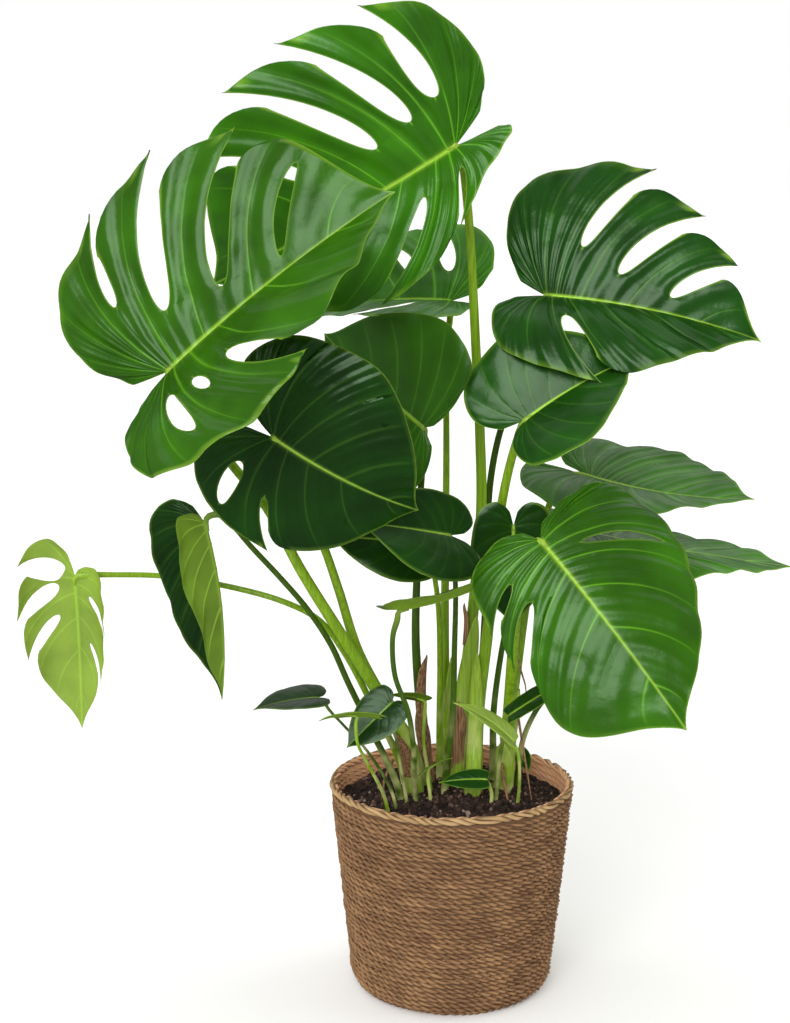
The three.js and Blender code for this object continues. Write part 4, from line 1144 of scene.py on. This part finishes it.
def potting_soil(settings):
    """Potting soil: peat and composted bark, crumbled by hand.
    It is nearly black where it is moist, with duller brown crumbs that give it no shine."""
    material, tree = new_material("potting soil")
    place = add(tree, "TexCoord", result="Object")
    # Crumbs 4 mm across, drier and moister in patches of 20 mm
    crumb = add(tree, "TexNoise", {"Vector": place, "Scale": 1 / 0.004, "Detail": 6.0})
    patch = add(tree, "TexNoise", {"Vector": place, "Scale": 1 / 0.02, "Detail": 3.0})
    spread = add(tree, "Math", {0: crumb, 1: patch}, operation="MULTIPLY")
    share = add(tree, "MapRange", {"Value": spread, "From Min": 0.16, "From Max": 0.4})
    earth = add(tree, "Mix", {
        "Factor": share, "A": settings.soil_dark, "B": settings.soil_brown}, data_type="RGBA")
    grain = add(tree, "Bump", {"Height": crumb, "Strength": 0.9, "Distance": 0.002})
    skin = add(tree, "BsdfPrincipled", {"Base Color": earth, "Roughness": 0.93, "IOR": 1.4, "Normal": grain})
    add(tree, "OutputMaterial", {"Surface": skin})
    return material


def crumbs(name, first, second, roughness):
    """Loose bits in potting soil: bark chips, clods and small worn stones.
    Each bit has its own tone between two dull colours."""
    material, tree = new_material(name)
    place = add(tree, "TexCoord", result="Object")
    tone = add(tree, "Attribute", result="Fac", attribute_name="tone")
    # Pits 2 mm across
    grain = add(tree, "TexNoise", {"Vector": place, "Scale": 1 / 0.002, "Detail": 4.0})
    mottled = add(tree, "Math", {0: tone, 1: grain}, operation="MULTIPLY")
    share = add(tree, "MapRange", {"Value": mottled, "From Max": 0.7})
    bit = add(tree, "Mix", {"Factor": share, "A": first, "B": second}, data_type="RGBA")
    relief = add(tree, "Bump", {"Height": grain, "Strength": 0.6, "Distance": 0.001})
    skin = add(tree, "BsdfPrincipled", {
        "Base Color": bit, "Roughness": roughness, "IOR": 1.45, "Normal": relief})
    add(tree, "OutputMaterial", {"Surface": skin})
    return material


def studio_paint(colour):
    """Matt white paint, rolled on the studio floor. It gives a plain pale ground with soft shadows."""
    material, tree = new_material("matt studio paint")
    place = add(tree, "TexCoord", result="Object")
    # Roller stipple 3 mm across
    stipple = add(tree, "TexNoise", {"Vector": place, "Scale": 1 / 0.003})
    relief = add(tree, "Bump", {"Height": stipple, "Strength": 0.02, "Distance": 0.0005})
    skin = add(tree, "BsdfPrincipled", {"Base Color": colour, "Roughness": 0.9, "Normal": relief})
    add(tree, "OutputMaterial", {"Surface": skin})
    return material


# Settings that a user would change


def colour_property(name, description, value):
    """A colour, given in sRGB hex."""
    return bpy.props.FloatVectorProperty(
        name=name, description=description, subtype="COLOR", size=4, min=0.0, max=1.0, default=linear(value))


def length_property(name, description, value):
    """A length, given in millimetres."""
    return bpy.props.FloatProperty(
        name=name, description=description, subtype="DISTANCE", unit="LENGTH", min=0.0, default=value * MM)


def share_property(name, description, value):
    """A share from 0 to 1."""
    return bpy.props.FloatProperty(
        name=name, description=description, subtype="FACTOR", min=0.0, max=1.0, default=value)


def count_property(name, description, low, high, value):
    """A whole number."""
    return bpy.props.IntProperty(name=name, description=description, min=low, max=high, default=value)


def strength_property(name, description, value):
    """The strength of a light."""
    return bpy.props.FloatProperty(name=name, description=description, min=0.0, default=value)


class PLANT_PG_blades(bpy.types.PropertyGroup):
    """Sizes and colours of the blades"""

    blade_thickness: length_property("Thickness", "Thickness of a blade between its veins", 0.9)
    quilt_depth: length_property("Quilting", "How deep a blade sinks along its side veins", 5)
    vein_strength: share_property("Vein strength", "How far the veins take the vein colour", 0.5)
    deep_share: share_property("Depth of shade", "Brightness of the tissue between veins", 0.5)
    under_share: share_property("Underside", "How far the lower faces take the underside colour", 0.6)
    fresh_green: colour_property("Fresh green", "Upper faces of the bright front leaves", "#336a04")
    mid_green: colour_property("Mid green", "Upper faces of the full-grown leaves", "#347206")
    dark_green: colour_property("Dark green", "Upper faces of the shaded leaves", "#17420a")
    grey_green: colour_property("Grey green", "Upper faces of the bluish leaves on the right", "#3d7618")
    olive: colour_property("Olive", "Upper faces of the small olive leaves", "#5d7e1c")
    lime: colour_property("Lime", "Upper faces of the youngest leaves", "#8da646")
    vein_colour: colour_property("Veins", "Midribs, veins and margins", "#a0cc40")
    under_colour: colour_property("Underside", "Lower faces of all leaves", "#7c9e1e")


class PLANT_PG_stalks(bpy.types.PropertyGroup):
    """Sizes and colours of the stalks, sheaths and roots"""

    knee_swelling: share_property("Knee", "How much a stalk swells under its blade", 0.22)
    root_depth: length_property("Depth in soil", "How far a stalk goes into the soil", 32)
    stem_green: colour_property("Green stalks", "Stalks of the bright leaves", "#80a61c")
    # Painted shade: a darker green for the stalks inside the plant, in place of the shade that falls on them
    stem_dark: colour_property("Dark stalks", "Stalks of the shaded leaves", "#3f5e10")
    foot_colour: colour_property("Foot", "Stalks where they come out of the soil", "#c9cb86")
    sheath_green: colour_property("Green sheaths", "Sheaths round the feet of the stalks", "#96b83a")
    dry_pale: colour_property("Pale dry sheath", "Fibres of the dried sheaths", "#a8815a")
    dry_brown: colour_property("Brown dry sheath", "Skin of the dried sheaths", "#5a3b2a")
    knee_colour: colour_property("Knee", "Swelling under the blade", "#9cbb45")


class PLANT_PG_basket(bpy.types.PropertyGroup):
    """Sizes and colours of the basket"""

    cord_pitch: length_property("Row height", "Distance between two rows of cord", 5.4)
    cord_turns: count_property("Twist", "Turns that a cord's plies make in one round", 4, 120, 34)
    straw_pale: colour_property("Pale seagrass", "Sunlit strands of the wall", "#aa8258")
    straw_dark: colour_property("Brown seagrass", "Brown strands of the wall", "#57371d")
    # Painted shade: the grooves between the rows of cord take this dark colour
    groove_shade_colour: colour_property("Grooves", "Shade between the strands", "#3e2412")
    # The inside of the wall: its own reddish brown, painted much paler as painted light
    inside_colour_and_painted_light: colour_property("Inside", "Strands on the inside of the wall", "#f6b88e")
    rim_pale: colour_property("Pale rim", "Straw strands of the rim", "#cfac7a")
    rim_dark: colour_property("Brown rim", "Tanned strands of the rim", "#7e5e3a")


class PLANT_PG_soil(bpy.types.PropertyGroup):
    """Colours of the soil, and how many loose bits it has"""

    soil_dark: colour_property("Moist soil", "Peat between the crumbs", "#1c110d")
    soil_brown: colour_property("Dry soil", "Drier crumbs of soil", "#46322a")
    bark_colour: colour_property("Bark", "Reddish chips of bark", "#66483e")
    stone_colour: colour_property("Stones", "Small worn stones", "#a08c80")
    bits: count_property("Bits", "Loose bits on the soil", 0, 4000, 1500)


class PLANT_PG_stage(bpy.types.PropertyGroup):
    """Floor, lights and camera"""

    floor_colour: colour_property("Floor", "Studio floor", "#fcfcfa")
    key_strength: strength_property("Key light", "Soft light from the front and from the left", 3.4)
    fill_strength: strength_property("Fill light", "Soft light from the right", 1.3)
    top_strength: strength_property("Top light", "Soft light from above and behind", 0.6)
    surround: share_property("Surround", "Strength of the white surround as a light", 0.4)
    surround_gloss: share_property("Surround in gloss", "Strength of the surround in reflections", 0.12)
    focal_length: bpy.props.FloatProperty(
        name="Focal length", description="Focal length of the camera",
        subtype="DISTANCE_CAMERA", unit="CAMERA", min=1.0, default=67.04)


# Operators, one to a group of like pieces


class PLANT_OT_blades(bpy.types.Operator):
    """Build the blades of all leaves, split and pierced, with their veins"""

    bl_idname = "plant.blades"
    bl_label = "Blades"

    def execute(self, context):
        settings = context.scene.plant_blades
        for finish in sorted({leaf.finish for leaf in LEAVES}):
            colour = getattr(settings, finish)
            materials = [leaf_cuticle(finish, colour, settings), leaf_underside(finish, colour, settings)]
            for leaf in LEAVES:
                if leaf.finish == finish:
                    points, faces, face_materials, attributes = blade_mesh(leaf, settings)
                    make_piece(f"blade_{leaf.name}", points, faces, materials,
                               [f"leaf_{leaf.name}"], attributes, face_materials)
        return {"FINISHED"}


class PLANT_OT_stalks(bpy.types.Operator):
    """Build the stalks that carry the blades"""

    bl_idname = "plant.stalks"
    bl_label = "Stalks"

    def execute(self, context):
        settings = context.scene.plant_stalks
        skins = {
            name: stalk_skin(name.replace("_", " ") + " rind", getattr(settings, name), settings)
            for name in ("stem_green", "stem_dark")}
        for leaf in LEAVES:
            stem_piece(leaf, skins[leaf.stem_finish], settings)
        return {"FINISHED"}


class PLANT_OT_sheaths(bpy.types.Operator):
    """Build the green and dry sheaths and the roots at the foot of the stalks"""

    bl_idname = "plant.sheaths"
    bl_label = "Sheaths and roots"

    def execute(self, context):
        settings = context.scene.plant_stalks
        green = stalk_skin("green sheath", settings.sheath_green, settings)
        dry, root = (
            dry_sheath(name, settings.dry_pale, settings.dry_brown) for name in ("dried sheath", "root skin"))
        for sheaths, material in ((GREEN_SHEATHS, green), (DRY_SHEATHS, dry)):
            for sheath in sheaths:
                sheath_piece(sheath, material, settings)
        for i, (path, radius) in enumerate(ROOTS):
            root_piece(f"root_{i + 1}", path, radius, root)
        return {"FINISHED"}


class PLANT_OT_basket(bpy.types.Operator):
    """Build the basket: rows of twisted seagrass cord with a straw rim"""

    bl_idname = "plant.basket"
    bl_label = "Basket"

    def execute(self, context):
        settings = context.scene.plant_basket
        rng = np.random.default_rng(21)
        wall = seagrass("seagrass cord", settings.straw_pale, settings.straw_dark, settings)
        rings = [(wall_radius(z) - CORD_INSET, z) for z in np.arange(*ROW_HEIGHTS, settings.cord_pitch / MM)]
        points, faces, values = plies(rings, rng, count=2, twist=settings.cord_turns, ply_radius=1.75,
                                      helix_radius=1.35, segments=250, sides=5)
        make_piece("basket_wall", points, faces, [wall], ["basket"], values)
        heights = np.linspace(*CORE_HEIGHTS, 30)
        profile = [(2.0, 2.0), *[(wall_radius(z) - CORE_OUTSIDE, z) for z in heights],
                   *[(wall_radius(z) - CORE_INSIDE, z) for z in heights[::-1]]]
        points, faces = turned(profile, 64)
        x, y, z = points.T
        # The core takes the painted groove shade all over: a dark sheet standing for the shade in the gaps
        # between the cords
        values = {
            "tone": np.full(len(points), 0.8),
            "crown": np.full(len(points), 0.3),
            "outward": np.where(np.hypot(x, y) < wall_radius(z) - (CORE_OUTSIDE + CORE_INSIDE) / 2, -1, 1),
            "along": np.arctan2(y, x) * 0.1,
            "athwart": z * MM,
        }
        make_piece("basket_core", points, faces, [wall], attributes=values)
        rings = [(radius, BASE_HEIGHT) for radius in np.arange(*BASE_RADII)]
        points, faces, values = plies(rings, rng, count=2, twist=14, ply_radius=1.8, helix_radius=1.4,
                                      segments=90, sides=5)
        make_piece("basket_base", points, faces, [wall], attributes=values)
        rim = seagrass("seagrass rim", settings.rim_pale, settings.rim_dark, settings)
        points, faces, values = plies([(PLAIT_RADIUS, PLAIT_HEIGHT)], rng, count=3, twist=17, ply_radius=1.9,
                                      helix_radius=2.3, segments=800, sides=8)
        make_piece("rim_plait", points, faces, [rim], ["rim_braid"], values)
        return {"FINISHED"}


class PLANT_OT_soil(bpy.types.Operator):
    """Build the potting soil with its loose bits"""

    bl_idname = "plant.soil"
    bl_label = "Soil"

    def execute(self, context):
        settings = context.scene.plant_soil
        rng = np.random.default_rng(5)
        rounds, turns = 60, 200
        out = np.linspace(0, 1, rounds)[1:] * SOIL_RADIUS
        angle = round_angles(turns)
        x, y = out[:, None] * np.cos(angle), out[:, None] * np.sin(angle)
        middle = [0, 0, soil_height(np.zeros(1), np.zeros(1))[0]]
        points = np.concatenate([[middle], np.stack([x, y, soil_height(x, y)], -1).reshape(-1, 3)])
        faces = (1 + ring_quads(rounds - 1, turns)[:, [0, 3, 2, 1]]).tolist()
        faces += [[0, a, a % turns + 1] for a in range(1, turns + 1)]
        make_piece("soil_bed", points, faces, [potting_soil(settings)], ["soil"])
        # Each kind of bit: its share of them all, its sizes, how flat it is, its two colours and roughness
        kinds = [
            ("soil_clods", 0.55, (1.8, 5.5), (0.6, 1.0), settings.soil_dark, settings.soil_brown, 0.95),
            ("soil_bark", 0.27, (2.0, 6.0), (0.25, 0.6), settings.soil_brown, settings.bark_colour, 0.8),
            ("soil_stones", 0.18, (1.6, 4.2), (0.7, 1.0), settings.bark_colour, settings.stone_colour, 0.75),
        ]
        for name, share, sizes, squash, first, second, roughness in kinds:
            count = int(settings.bits * share)
            away = BITS_RADIUS * np.sqrt(rng.uniform(0, 1, count))
            turn = rng.uniform(0, 2 * math.pi, count)
            x, y = away * np.cos(turn), away * np.sin(turn)
            size = rng.uniform(*sizes, count) * rng.uniform(0.6, 1.0, count)
            centres = np.stack([x, y, soil_height(x, y) + 0.25 * size], -1)
            points, faces, tones = lumps(centres, size, squash, rng)
            finish = crumbs(name.replace("_", " "), first, second, roughness)
            make_piece(name, points, faces, [finish], attributes={"tone": tones})
        return {"FINISHED"}


class PLANT_OT_stage(bpy.types.Operator):
    """Set up the studio floor, the lights and the camera"""

    bl_idname = "plant.stage"
    bl_label = "Stage"

    def execute(self, context):
        settings = context.scene.plant_stage
        scene = context.scene
        mesh = bpy.data.meshes.new("floor")
        corners = [(FLOOR_REACH * x, FLOOR_REACH * y, 0.0) for x, y in ((-1, -1), (1, -1), (1, 1), (-1, 1))]
        mesh.from_pydata(corners, [], [(0, 1, 2, 3)])
        mesh.materials.append(studio_paint(settings.floor_colour))
        floor = bpy.data.objects.new("floor", mesh)
        # The white floor stays out of the leaves' gloss, so that they keep their depth of colour
        floor.visible_glossy = False
        scene.collection.objects.link(floor)
        world = bpy.data.worlds.new("studio")
        world.use_nodes = True
        tree = world.node_tree
        tree.nodes.clear()
        # The surround looks white. As a light it is dimmer, and dimmer still in gloss.
        glossy, seen_directly = (
            add(tree, "LightPath", result=name) for name in ("Is Glossy Ray", "Is Camera Ray"))
        lit = add(tree, "MapRange", {
            "Value": glossy, "To Min": settings.surround, "To Max": settings.surround_gloss})
        strength = add(tree, "Math", {0: seen_directly, 1: lit}, operation="MAXIMUM")
        white = add(tree, "Background", {"Color": (1.0, 1.0, 1.0, 1.0), "Strength": strength})
        add(tree, "OutputWorld", {"Surface": white})
        scene.world = world
        # Each light: its strength, the way to it, and how wide it looks in degrees, to soften its shadows.
        # Two thirds of the key light come from the front, and the rest is a wider light from the left.
        lights = [
            ("key_light", settings.key_strength * 0.65, (-0.35, -1.5, 0.82), 42),
            ("key_halo", settings.key_strength * 0.35, (-1.6, -0.3, 1.0), 80),
            ("fill_light", settings.fill_strength, (1.6, 0.25, 0.8), 60),
            ("top_light", settings.top_strength, (0.0, 1.0, 1.3), 80),
        ]
        for name, strength, place, angle in lights:
            light = bpy.data.lights.new(name, "SUN")
            light.energy = strength
            light.angle = math.radians(angle)
            lamp = bpy.data.objects.new(name, light)
            # The lights from the sides don't show in the wax, where they would lay a haze over the green
            lamp.visible_glossy = name not in ("key_halo", "fill_light")
            lamp.location = place
            lamp.rotation_euler = (-Vector(place)).to_track_quat("-Z", "Y").to_euler()
            scene.collection.objects.link(lamp)
        lens = bpy.data.cameras.new("camera")
        lens.lens = settings.focal_length
        lens.sensor_width = SENSOR_WIDTH
        camera = bpy.data.objects.new("camera", lens)
        camera.location = CAMERA_PLACE
        camera.rotation_euler = (math.radians(CAMERA_TILT), 0.0, 0.0)
        scene.collection.objects.link(camera)
        scene.camera = camera
        scene.view_settings.view_transform = "Standard"
        return {"FINISHED"}


OPERATORS = [
    PLANT_OT_blades, PLANT_OT_stalks, PLANT_OT_sheaths, PLANT_OT_basket, PLANT_OT_soil, PLANT_OT_stage]
GROUPS = {
    "plant_blades": PLANT_PG_blades,
    "plant_stalks": PLANT_PG_stalks,
    "plant_basket": PLANT_PG_basket,
    "plant_soil": PLANT_PG_soil,
    "plant_stage": PLANT_PG_stage,
}


class PLANT_PT_panel(bpy.types.Panel):
    """Sizes and colours of the plant, with a button for each group of pieces"""

    bl_label = "Potted swiss cheese plant"
    bl_space_type = "VIEW_3D"
    bl_region_type = "UI"
    bl_category = "Plant"

    def draw(self, context):
        for name in GROUPS:
            box = self.layout.box()
            group = getattr(context.scene, name)
            for setting in group.bl_rna.properties:
                if setting.identifier not in ("rna_type", "name"):
                    box.prop(group, setting.identifier)
        for operator in OPERATORS:
            self.layout.operator(operator.bl_idname)


def register():
    for kind in [*GROUPS.values(), *OPERATORS, PLANT_PT_panel]:
        bpy.utils.register_class(kind)
    for name, group in GROUPS.items():
        setattr(bpy.types.Scene, name, bpy.props.PointerProperty(type=group))


def unregister():
    for name in GROUPS:
        delattr(bpy.types.Scene, name)
    for kind in [PLANT_PT_panel, *OPERATORS, *GROUPS.values()]:
        bpy.utils.unregister_class(kind)


def main():
    """Builds the plant and its stage."""
    register()
    bpy.ops.plant.blades()
    bpy.ops.plant.stalks()
    bpy.ops.plant.sheaths()
    bpy.ops.plant.basket()
    bpy.ops.plant.soil()
    bpy.ops.plant.stage()


if __name__ == "__main__":
    main()
